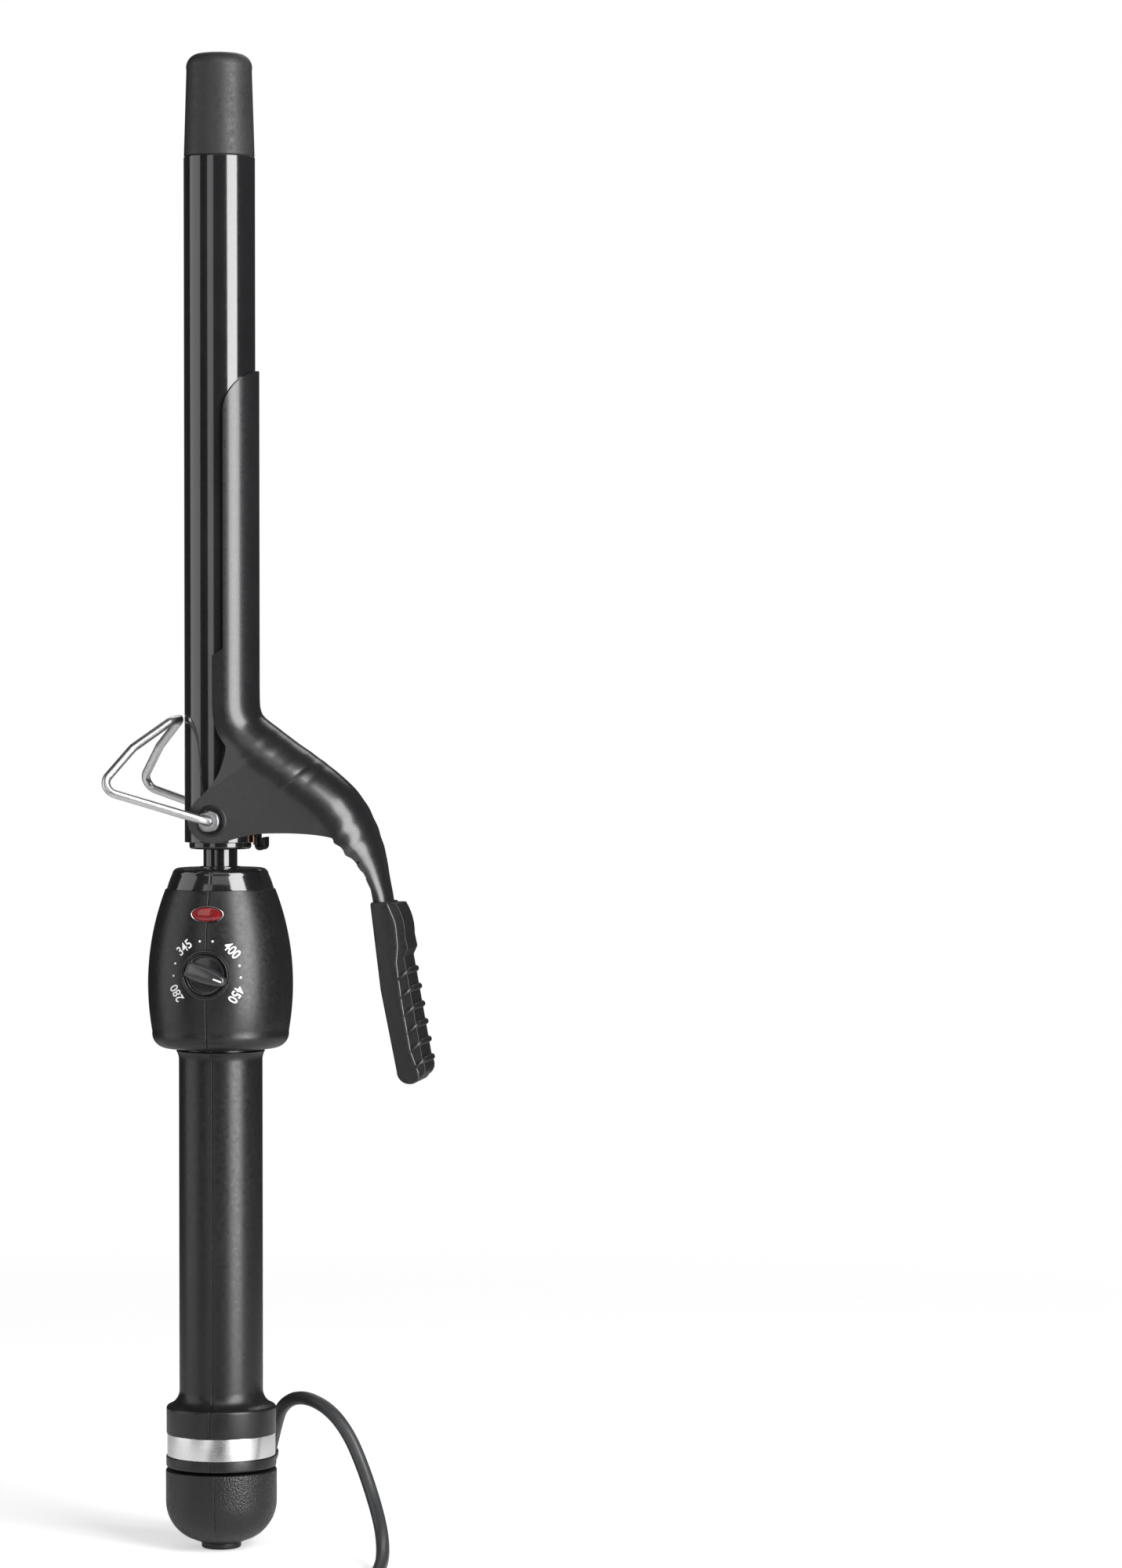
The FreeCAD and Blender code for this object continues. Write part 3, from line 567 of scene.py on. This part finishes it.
def thumb_grip():
    z = PIVOT_Z
    body = drawn([
        (42.05, z - 21.5), (46.9, z - 21.5), (48.9, z - 27.0), (49.6, z - 33.3), (49.2, z - 37.5),
        (50.7, z - 48.4), (53.0, z - 61.0), (55.6, z - 67.9), ((54.6, z - 69.2), (52.6, z - 69.8)),
        ((50.4, z - 69.0), (49.2, z - 66.4)), (44.9, z - 44.8),
    ], 6)
    piece = prism("thumb_grip", softened(body, 0.8), -8.0, 8.0, 0.9, 4)
    make(piece, "grip", "clamp", "thumb_grip")
    pad = drawn([
        (46.5, z - 21.9), (49.2, z - 21.9), ((50.7, z - 25.0), (51.6, z - 30.5)), (52.3, z - 33.7),
        (51.3, z - 36.0), (52.2, z - 41.0), (56.3, z - 63.6), ((56.7, z - 66.8), (55.3, z - 68.3)),
        (52.6, z - 61.0), (50.3, z - 48.4), (48.8, z - 37.5), (49.2, z - 33.3), (48.5, z - 27.0),
    ], 6)
    make(prism("thumb_grip_pad", softened(pad, 0.4), -7.55, 7.55, 0.8, 4), "grip", "clamp")
    for i in range(6):
        x, h = 52.1 + i * 0.87, z - 39.7 - i * 4.72
        path = [(x - 2.9, -7.55, h - 3.3), (x - 2.0, -7.75, h - 1.9), (x - 0.7, -7.2, h - 0.5),
                (x + 0.1, -5.6, h), (x + 0.15, 0, h), (x + 0.1, 5.6, h), (x - 0.7, 7.2, h - 0.5),
                (x - 2.0, 7.75, h - 1.9), (x - 2.9, 7.55, h - 3.3)]
        ridge = sweep(f"grip_ridge_{i + 1}", rounded_route(path, 2.5), 1.0, 20,
                      lambda share: 0.26 + 0.62 * math.sin(math.pi * share) ** 0.6)
        make(ridge, "grip", "clamp")
    for side in (-1, 1):
        line = [(46.75, z - 22.4), (48.75, z - 27.0), (49.4, z - 33.3), (49.0, z - 37.5), (50.5, z - 48.4),
                (52.8, z - 61.0), (55.0, z - 67.0)]
        bead = sweep(f"grip_bead_{'front' if side < 0 else 'back'}",
                     rounded_route([(x, side * 7.62, h) for x, h in line], 6.0), 0.42, 16)
        make(bead, "bead", "clamp")


def pivot():
    for side, word in ((-1, "front"), (1, "back")):
        tip, base = 15.5, 10.4
        rows = [(1.2, 0), (2.35, 0), (2.75, 0.18), (3.0, 0.5), (3.0, tip - base), (0, tip - base), (0, 4.0),
                (1.2, 4.0)]
        boss = rod(f"pivot_boss_{word}", 3.0, (0, side * tip, PIVOT_Z), (0, side * base, PIVOT_Z),
                   rows=rows, soft=0.12)
        make(boss, "stud", "handle", f"pivot_boss_{word}")
        saddle = rod(f"pivot_saddle_{word}", 4.6, (0, side * 8.6, PIVOT_Z), (0, side * 10.8, PIVOT_Z),
                     soft=0.3)
        make(saddle, "stud", "handle")
        ring = [(3.08, 0), (3.7, -0.12), (4.25, 0.1), (4.25, 1.0), (3.08, 1.0)]
        bush = rod(f"pivot_bush_{word}", 4.2, (0, side * 12.3, PIVOT_Z), (0, side * 11.0, PIVOT_Z),
                   rows=ring, soft=0.15)
        make(bush, "bush", "clamp", f"pivot_bush_{word}")


def spring():
    z = PIVOT_Z
    hook = drawn([(9.95, z + 3.2), (10.7, z + 3.2), (10.7, z - 6.4), ((11.32, z - 7.1), (11.95, z - 6.4)),
                  (11.95, z - 4.6), (12.7, z - 4.6), (12.7, z - 6.4), ((11.3, z - 8.1), (9.95, z - 6.4))], 8)
    make(prism("spring_bracket", hook, -3.2, 3.2, 0.15), "dark_steel", "handle", "spring_bracket")
    spine = rounded_route([(9.77, 0, z - 6.6), (9.77, 0, z + 7.0), (12.6, 0, z + 17.0),
                           (13.6, 0, z + 22.0)], 12.0, 3.0)
    bm = bmesh.new()
    rows = []
    for i, p in enumerate(spine):
        t = (spine[min(i + 1, len(spine) - 1)] - spine[max(i - 1, 0)]).normalized()
        n = Vector((-t.z, 0, t.x)) * 0.17
        rows.append([p + n + Vector((0, y, 0)) for y in (-3.6, 3.6)]
                    + [p - n + Vector((0, y, 0)) for y in (3.6, -3.6)])
    verts = grid(bm, rows, wrap_cols=True)
    bm.faces.new(verts[0])
    bm.faces.new(verts[-1])
    leaf = finished("leaf_spring", bm)
    leaf.data.materials.append(M["bronze"])
    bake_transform(leaf)
    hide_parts("leaf_spring")
    rivet = rod("spring_rivet", 2.0, (10.72, 0, z + 1.5), (11.4, 0, z + 1.5), soft=0.3)
    make(rivet, "dark_steel", "handle", "spring_rivet")


def stand_wire():
    z = PIVOT_Z
    side = [(0, -10.2, z), (0, -17.3, z), (-27.6, -25.6, z + 8.8), (-20.2, -16.2, z + 19.4),
            (-12.4, -5.2, z + 26.4)]
    route = side + [(-11.2, 0, z + 27.0)] + [(x, -y, h) for x, y, h in reversed(side)]
    make(sweep("stand_wire", rounded_route(route, 3.2, 7.0), 1.15, 32), "steel", "stand", "stand_wire")


# ---- handle ----
SHELL_OUTSIDE = [
    (7.35, 22.0), (14.3, 22.0), (14.65, 22.15), (14.8, 22.5), (14.8, 24.9), (13.9, 24.9), (13.9, 31.1),
    (14.7, 31.1), (14.7, 37.5), ((14.55, 38.1), (14.0, 38.5)), ((12.1, 39.9), (11.2, 42.8)), (11.2, 131.0),
    ((11.4, 132.6), (11.9, 133.7)), (10.2, 133.7), (10.2, 134.5), (15.0, 134.6),
    ((17.45, 136.0), (18.3, 139.0)),
    ((19.15, 145.5), (19.4, 153.5)), ((17.9, 166.3), (14.7, 177.1)),
]
SHELL_INSIDE = [
    (12.0, 177.1), (12.0, 174.3), (13.2, 174.3), ((15.9, 165.9), (17.3, 153.5)),
    ((17.05, 145.5), (16.3, 139.8)), (14.6, 136.8), (8.4, 136.8), (8.4, 130.5), (9.2, 129.5),
    (9.2, 37.0), (11.6, 37.0), (11.6, 26.6), (7.35, 26.6),
]
SCREWS = ((10.5, 145.0), (5.2, 116.0), (5.2, 58.0))


def bulb_radius(z):
    """The bulb's outside radius at a height."""
    points = [p for p in drawn(SHELL_OUTSIDE, 16) if p[1] >= 134.6]
    for (r0, z0), (r1, z1) in zip(points, points[1:]):
        if z0 <= z <= z1:
            return r0 + (r1 - r0) * (z - z0) / (z1 - z0)
    return points[-1][0]


OVAL_SIDES = 72


def oval(name, a, b, y0, y1, z):
    """A prism with an oval outline, along Y."""
    turns = [TAU * i / OVAL_SIDES for i in range(OVAL_SIDES)]
    outline = [(a * math.cos(t), z + b * math.sin(t)) for t in turns]
    return prism(name, outline, y0, y1)


def handle():
    profile = drawn(SHELL_OUTSIDE + SHELL_INSIDE, 14)
    for side, word in ((-1, "left"), (1, "right")):
        half = half_lathe(f"handle_half_{word}", profile, side, seg=120)
        combined(half, oval("cut", 4.45, 2.3, -30, -6, LENS_Z))
        combined(half, rod("cut", 6.45, (0, -30, DIAL_Z), (0, -6, DIAL_Z), seg=96, soft=0))
        if side < 0:
            for y, z in SCREWS:
                combined(half, rod("cut", 2.65, (-30, y, z), (-5.2, y, z), seg=48, soft=0))
        make(half, "soft", "handle", f"handle_half_{word}")
    for i, (y, z) in enumerate(SCREWS):
        head = rod(f"screw_{i + 1}", 2.5, (-6.9, y, z), (-5.3, y, z), soft=0.3, seg=48)
        for turn in (0, 90):
            slot = brick("cut", (-8, -1.5, -0.32), (-6.4, 1.5, 0.32), 0)
            slot.data.transform(Matrix.Translation((0, y * MM, z * MM)) @ Matrix.Rotation(
                math.radians(turn + 20), 4, "X"))
            combined(head, slot)
        make(head, "stud", "handle", *(["handle_screws"] if i == 0 else []))
    nose = drawn([
        (3.4, 171.6), (12.9, 171.6), (12.9, 174.2), (11.9, 174.2), (11.9, 177.1), (14.3, 177.1),
        (14.3, 177.2), ((13.75, 179.0), (12.9, 181.1)), ((12.35, 182.2), (11.3, 182.7)),
        (5.5, 182.7), (5.5, 183.1), (4.55, 183.2), (4.55, 187.8), (3.4, 187.8),
    ], 12)
    for side, word in ((-1, "left"), (1, "right")):
        make(half_lathe(f"nose_half_{word}", nose, side, soft=0.12, gap=0.03, lip=0.14), "nose", "handle",
             f"nose_half_{word}")
    band = [(13.9, 24.95), (14.4, 24.95), (14.5, 25.1), (14.5, 30.9), (14.4, 31.05), (13.9, 31.05)]
    make(lathe("badge_band", band, 192, 0.1), "band", "handle", "badge_band")


def lens():
    seg = 72

    def loop(a, b, y):
        return [(a * math.cos(TAU * k / seg), y, LENS_Z + b * math.sin(TAU * k / seg)) for k in range(seg)]

    bm = bmesh.new()
    rows = []
    outer, rings = -16.95, 8
    for i in range(rings + 1):
        f = math.sin(i / rings * math.pi / 2)
        rows.append(loop(4.05 * f, 1.9 * f, outer + 0.9 * (1 - math.sqrt(1 - 0.75 * f * f))))
    rows.append(loop(4.05, 1.9, -14.6))
    verts = grid(bm, rows, wrap_cols=True)
    bm.faces.new(verts[-1])
    make(finished("indicator_lens", bm), "lens", "handle", "indicator_lens")
    bm = bmesh.new()
    section = ((0.33, -15.2), (0.33, -16.75), (0.28, -16.93), (0.18, -17.0), (0.08, -16.93), (0.03, -16.75),
               (0.03, -15.2))
    rows = [loop(4.1 + w, 1.95 + w, y) for w, y in section]
    grid(bm, rows, wrap_rows=True, wrap_cols=True)
    make(finished("lens_bezel", bm), "bezel", "handle", "lens_bezel")


def dial():
    face = drawn([(0, 0), (0, -0.9), (4.2, -0.9), ((5.3, -0.75), (5.75, -0.1)), ((5.95, 0.0), (6.12, -0.25)),
                  (6.12, -3.9), (0, -3.9)], 8)
    rows = [(r, -d) for r, d in face[1:]]
    disc = rod("dial_knob", 6.1, (0, -19.75, DIAL_Z), (0, -15.6, DIAL_Z), rows=rows, soft=0.1, seg=96)
    make(disc, "dial", "dial", "dial_knob")
    n = 18
    wing = drawn([(-1.75, -5.35), (1.75, -5.35), ((2.15, -0.5), (1.1, 5.3)), ((0, 5.75), (-1.1, 5.3)),
                  ((-2.15, -0.5), (-1.75, -5.35))], n)
    bm = bmesh.new()
    levels = ((1.12, -18.85), (1.05, -19.9), (0.98, -20.9), (0.9, -21.25), (0.72, -21.38))
    out = [[(x * s, y, z * (0.5 + 0.5 * s)) for x, z in wing] for s, y in levels]
    verts = grid(bm, out, wrap_cols=True)
    bm.faces.new(verts[0])
    bm.faces.new(verts[-1])
    bar = finished("dial_wing", bm, 50)
    turn = Matrix.Translation((0, 0, DIAL_Z * MM)) @ Matrix.Rotation(math.radians(110), 4, "Y")
    bar.data.transform(turn)
    make(bar, "wing", "dial")
    mark = prism("dial_pointer", [(-0.22, 2.6), (0.22, 2.6), (0.22, 5.0), (-0.22, 5.0)], -21.4, -21.2)
    mark.data.transform(turn)
    make(mark, "print", "dial")
    # A bevelled ring round the knob. Its bevel catches real light, and its grey metal colour is a painted
    # highlight for the light on the knob's edge.
    ring = [(6.2, 0), (6.3, -0.14), (6.5, -0.1), (6.62, 0.12), (6.62, 0.9), (6.2, 0.9)]
    rim = rod("dial_rim", 6.5, (0, -19.42, DIAL_Z), (0, -18.4, DIAL_Z), rows=ring, soft=0.06, seg=96)
    make(rim, "dial_rim", "handle")


PRINT_PROUD = 0.03


def on_bulb(mesh):
    """Lays flat print, drawn in X and Z, on the front of the bulb."""
    for v in mesh.vertices:
        x, z = v.co.x / MM, v.co.z / MM
        r = bulb_radius(z)
        v.co.y = -(math.sqrt(max(0.0, r * r - x * x)) + PRINT_PROUD) * MM


def scale_print():
    for word, angle in (("280", -121), ("345", -40), ("400", 46), ("450", 123)):
        curve = bpy.data.curves.new("scale", "FONT")
        curve.body = word
        curve.size = 3.5 * MM
        curve.align_x = "CENTER"
        curve.align_y = "CENTER"
        curve.offset = 0.06 * MM
        curve.space_character = 1.02
        text = bpy.data.objects.new("text", curve)
        bpy.context.scene.collection.objects.link(text)
        bpy.context.view_layer.update()
        graph = bpy.context.evaluated_depsgraph_get()
        mesh = bpy.data.meshes.new_from_object(text.evaluated_get(graph))
        bpy.data.objects.remove(text)
        a = math.radians(angle)
        upright = Matrix.Rotation(math.radians(90), 4, "X")
        mesh.transform(Matrix.Translation((0, 0, DIAL_Z * MM)) @ Matrix.Rotation(a, 4, "Y")
                       @ Matrix.Translation((0, 0, 9.35 * MM)) @ upright @ Matrix.Scale(0.86, 4, (1, 0, 0)))
        bm = bmesh.new()
        bm.from_mesh(mesh)
        bmesh.ops.triangulate(bm, faces=bm.faces)
        bm.to_mesh(mesh)
        bm.free()
        on_bulb(mesh)
        obj = bpy.data.objects.new(f"scale_{word}", mesh)
        bpy.context.scene.collection.objects.link(obj)
        make(obj, "print", "handle")
    bm = bmesh.new()
    for angle in (-92, -71, -11, 11, 74, 94):
        a = math.radians(angle)
        spot = [(9.1 * math.sin(a) + 0.3 * math.cos(t), 0, DIAL_Z + 9.1 * math.cos(a) + 0.3 * math.sin(t))
                for t in (TAU * k / 14 for k in range(14))]
        bm.faces.new([bm.verts.new(p) for p in spot])
    dots = finished("scale_dots", bm)
    on_bulb(dots.data)
    make(dots, "print", "handle")


# ---- swivel ----
RELIEF_START = Vector((3.2, 23.1, 5.0))
RELIEF_END = Vector((9.4, 20.2, 23.8))


def swivel():
    outside = [(0.0, 1.6), (5.6, 1.6), (8.9, 2.95), ((13.35, 7.1), (14.9, 12.6)), (14.9, 20.8),
               ((14.75, 21.15), (14.4, 21.3)), (7.2, 21.3), (7.2, 26.8), (9.8, 26.8), (9.8, 28.8)]
    inside = [(5.2, 28.8), (5.2, 19.3), (12.9, 19.3), (12.9, 13.0), ((11.2, 9.2), (7.0, 7.0)), (0.0, 7.0)]
    profile = drawn(outside + inside, 12)
    for side, word in ((-1, "left"), (1, "right")):
        half = half_lathe(f"swivel_cap_{word}", profile, side, 4.8, gap=0.02, lip=0.12)
        make(half, "cap", "swivel", f"swivel_cap_{word}")
    up = (RELIEF_END - RELIEF_START).normalized()
    knee = RELIEF_START - up * 4.6
    arm = Vector((RELIEF_START.x / 2, 11.0, knee.z + 1.9))
    lug = sweep("swivel_lug", rounded_route([arm, knee, RELIEF_START], 4.0, 8.0), 4.75, 40)
    combined(lug, brick("cut", (-30, -10, -20), (30, 60, 0.65), 0))
    edge = lug.modifiers.new("edge", "BEVEL")
    edge.width = 0.5 * MM
    edge.segments = 3
    edge.angle_limit = math.radians(35)
    smoothed(applied(lug))
    make(lug, "cap", "swivel")
    button = drawn([(0.0, 0.0), (4.8, 0.0), ((5.15, 0.15), (5.3, 0.5)), (5.3, 1.55), (0.0, 1.55)])
    make(lathe("end_button", button, 96, 0.12), "button", "swivel", "end_button")
    length = (RELIEF_END - RELIEF_START).length
    ribs = [(0, 0), (3.9, 0), (3.9, 2.2)]
    count = 7
    for i in range(count):
        d = 2.6 + i * 2.35
        r = 3.9 + (2.4 - 3.9) * d / length
        ribs += [(r - 0.55, d), (r - 0.62, d + 0.8), (r - 0.05, d + 0.9), (r - 0.12, d + 2.1)]
    ribs += [(2.4, length - 0.4), (2.2, length), (0, length)]
    relief = rod("cord_relief", 3.9, RELIEF_START, RELIEF_END, rows=ribs, soft=0.15)
    make(relief, "cap", "swivel", "cord_relief")


LEAD = [(9.4, 20.2, 23.8), (11.1, 18.9, 30.4), (13.7, 14.5, 36.2), (18.5, 9.5, 39.4), (24.3, 4.6, 39.5),
        (30.3, 0.9, 36.7), (35.3, -1.8, 31.1), (39.3, -4.5, 23.5), (43.1, -8.7, 15.3), (46.5, -15.7, 8.4),
        (48.9, -26.3, 3.6), (50.3, -40.0, 1.9), (51.3, -60.0, 1.85), (52.1, -80.5, 1.86),
        (52.7, -101.0, 1.85), (53.2, -121.5, 1.86)]
TAIL = [(12.3, -172.3, 12.1), (2.3, -171.2, 10.2), (-6.8, -169.6, 8.0), (-12.9, -165.3, 6.7),
        (-16.4, -158.6, 6.1), (-16.4, -150.2, 6.0)]
COIL = (26.5, -147.0)
PLUG_X = -16.4
PLUG_Z = 6.0
PLUG_TAPER = 17.6
PLUG_LENGTH = 24.0
BLADE_LENGTH = 16.0


def coil_points():
    """Four layers of flat turns, wound in and out by turns."""
    per = 18
    first, last = 10.5, 262 - 360
    turns = 15 + (first - last) / 360
    pull = math.cos(math.pi / per)
    points = []
    for i in range(int(turns * per) + 1):
        t = i / per
        ring = int(t)
        into = min(1.0, (t - ring) / 0.18) if ring else 1.0
        ease = into * into * (3 - 2 * into)

        def place(k):
            layer, step = divmod(max(k, 0), 4)
            step = step if layer % 2 == 0 else 3 - step
            return 26.9 - 3.6 * step, CORD_R + 3.6 * layer

        r0, z0 = place(ring - 1)
        r1, z1 = place(ring)
        if ring == 0:
            r0, z0 = r1, z1
        r = (r0 + (r1 - r0) * ease) / pull
        z = z0 + (z1 - z0) * ease
        a = math.radians(first) - TAU * t
        points.append((COIL[0] + r * math.cos(a), COIL[1] + r * math.sin(a), z))
    return points


def cord():
    route = LEAD + coil_points() + TAIL
    curve = bpy.data.curves.new("cord", "CURVE")
    curve.dimensions = "3D"
    curve.bevel_depth = CORD_R * MM
    curve.bevel_resolution = 6
    curve.use_fill_caps = True
    spline = curve.splines.new("NURBS")
    spline.points.add(len(route) - 1)
    for point, (x, y, z) in zip(spline.points, route):
        point.co = (x * MM, y * MM, z * MM, 1)
    spline.order_u = 3
    spline.use_endpoint_u = True
    spline.resolution_u = 6
    obj = bpy.data.objects.new("cord", curve)
    bpy.context.scene.collection.objects.link(obj)
    make(obj, "cord", "swivel", "cord_lead", "cord_coil", "cord_tail")
    tie_x, w, top = COIL[0] - 21.5, 7.2, 14.4
    outline = softened([(tie_x - w - 0.75, 0.05), (tie_x + w + 0.75, 0.05), (tie_x + w + 0.75, top + 0.75),
                        (tie_x - w - 0.75, top + 0.75)], 2.0)
    hole = softened([(tie_x - w, 0.75), (tie_x + w, 0.75), (tie_x + w, top), (tie_x - w, top)], 1.6)
    tie = prism("cord_tie", outline, COIL[1] - 4, COIL[1] + 4, 0.1)
    combined(tie, prism("cut", hole, COIL[1] - 6, COIL[1] + 6))
    make(tie, "tie", "swivel", "cord_tie")
    tail_y = TAIL[-1][1]
    rear = tail_y + PLUG_TAPER
    tip = rear + PLUG_LENGTH
    body = brick("plug_body", (PLUG_X - 11.5, rear, PLUG_Z - 6), (PLUG_X + 11.5, tip, PLUG_Z + 6), 3.0, 6)
    make(body, "cord", "swivel", "plug_body")
    neck = [(0, 0), (2.4, 0), (2.4, 1.4)]
    for i in range(6):
        d = 2.0 + i * 2.6
        r = 2.4 + 2.0 * d / (PLUG_TAPER + 2)
        neck += [(r - 0.45, d), (r - 0.45, d + 0.8), (r, d + 0.9), (r + 0.15, d + 2.4)]
    neck += [(4.4, PLUG_TAPER + 1), (4.4, PLUG_TAPER + 2), (0, PLUG_TAPER + 2)]
    taper = rod("plug_neck", 4.4, (PLUG_X, tail_y, PLUG_Z), (PLUG_X, rear + 2, PLUG_Z), rows=neck)
    make(taper, "cord", "swivel")
    for i, x in enumerate((PLUG_X - 6.35, PLUG_X + 6.35)):
        blade = brick(f"plug_blade_{i + 1}", (x - 0.75, tip, PLUG_Z - 3.15),
                      (x + 0.75, tip + BLADE_LENGTH, PLUG_Z + 3.15), 0.3)
        hole_y = tip + BLADE_LENGTH - 3.5
        combined(blade, rod("cut", 1.6, (x - 3, hole_y, PLUG_Z), (x + 3, hole_y, PLUG_Z), soft=0))
        make(blade, "bronze", "swivel", *(["plug_blades"] if i == 0 else []))


# ---- hidden pieces ----
HIDDEN = {
    "core_tube": "core", "heater_block_front": "alu", "heater_block_back": "alu", "ptc_heater": "ceramic",
    "thermistor": "ceramic", "thermal_fuse": "core", "heater_leads": "lead", "indicator_led": "lens",
    "dial_shaft": "alu", "potentiometer": "part", "control_board": "board", "triac": "part",
    "filter_capacitor": "part", "mains_leads": "lead", "slip_ring_hub": "ceramic", "slip_rings": "bronze",
    "contact_brushes": "bronze", "brush_holder": "part",
}


def hidden():
    for name, material in HIDDEN.items():
        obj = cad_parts[name]
        obj.data.materials.clear()
        obj.data.materials.append(M[material])


# ---- studio ----
def lamp(name, azimuth, distance, height, w, h, power):
    """A soft box that faces the iron. Azimuth 0 is in front of the dial and 90 beyond the thumb lever."""
    data = bpy.data.lights.new(name, "AREA")
    data.shape = "RECTANGLE"
    data.size, data.size_y = w, h
    data.energy = power
    obj = bpy.data.objects.new(name, data)
    a = math.radians(azimuth)
    obj.location = (math.sin(a) * distance, -math.cos(a) * distance, height)
    aim = Vector((0, 0, 0.2)) - obj.location
    obj.rotation_euler = aim.to_track_quat("-Z", "Y").to_euler()
    bpy.context.scene.collection.objects.link(obj)
    return obj


def studio():
    bm = bmesh.new()
    bmesh.ops.create_circle(bm, cap_ends=True, segments=96, radius=900)
    floor = finished("floor", bm)
    floor.location = (0.0, 0.0, -0.0003)
    n = Nodes("floor_pale")
    n.put(Roughness=0.7, Base_Color=(0.9, 0.9, 0.9, 1), Emission_Color=(1, 1, 1, 1))
    n.link(n.scaled(n.add("ShaderNodeLightPath").outputs["Is Camera Ray"], 0.04, 0.5),
           n.bsdf.inputs["Emission Strength"])
    away = n.add("ShaderNodeVectorMath", operation="LENGTH")
    n.link(n.coord.outputs["Object"], away.inputs[0])
    clear = n.add("ShaderNodeBsdfTransparent")
    mix = n.add("ShaderNodeMixShader")
    n.link(n.scaled(away.outputs["Value"], 0.0, 1.0, 0.2, 0.7), mix.inputs[0])
    n.link(n.bsdf.outputs[0], mix.inputs[1])
    n.link(clear.outputs[0], mix.inputs[2])
    n.link(mix.outputs[0], n.out.inputs[0])
    floor.data.materials.append(n.mat)

    world = bpy.data.worlds.new("studio")
    bpy.context.scene.world = world
    world.use_nodes = True
    tree = world.node_tree
    tree.nodes.clear()
    out = tree.nodes.new("ShaderNodeOutputWorld")
    seen, lit = tree.nodes.new("ShaderNodeBackground"), tree.nodes.new("ShaderNodeBackground")
    seen.inputs[0].default_value = (1, 1, 1, 1)
    seen.inputs[1].default_value = 1.0
    lit.inputs[0].default_value = (1, 1, 1, 1)
    lit.inputs[1].default_value = 0.04
    path = tree.nodes.new("ShaderNodeLightPath")
    mix = tree.nodes.new("ShaderNodeMixShader")
    tree.links.new(path.outputs["Is Camera Ray"], mix.inputs[0])
    tree.links.new(lit.outputs[0], mix.inputs[1])
    tree.links.new(seen.outputs[0], mix.inputs[2])
    tree.links.new(mix.outputs[0], out.inputs[0])

    lamp("key_right", VIEW_AZIMUTH + 42, 1.0, 0.45, 0.6, 1.4, 24)
    lamp("side_left", VIEW_AZIMUTH - 88, 1.0, 0.35, 0.8, 1.3, 4)
    lamp("front_left", VIEW_AZIMUTH - 30, 1.5, 0.5, 0.5, 1.2, 2.5)
    lamp("top", 10, 1.0, 1.35, 1.0, 0.8, 2.5)
    lamp("back_fill", 180, 1.2, 1.2, 1.0, 0.6, 3)


def camera():
    data = bpy.data.cameras.new("camera")
    obj = bpy.data.objects.new("camera", data)
    bpy.context.scene.collection.objects.link(obj)
    a = math.radians(VIEW_AZIMUTH)
    away, wide = 1.35, 0.421
    data.sensor_width = 36
    data.lens = 36 * away / wide
    right = Vector((math.cos(a), math.sin(a), 0))
    obj.location = (math.sin(a) * away, -math.cos(a) * away, 0.238)
    aim = right * 0.0915 + Vector((0, 0, 0.205)) - obj.location
    obj.rotation_euler = aim.to_track_quat("-Z", "Y").to_euler()
    data.clip_start, data.clip_end = 0.05, 50
    bpy.context.scene.camera = obj
    bpy.context.scene.view_settings.view_transform = "Standard"


barrel()
clamp_lever()
thumb_grip()
pivot()
spring()
stand_wire()
handle()
lens()
dial()
scale_print()
swivel()
cord()
hidden()
studio()
camera()
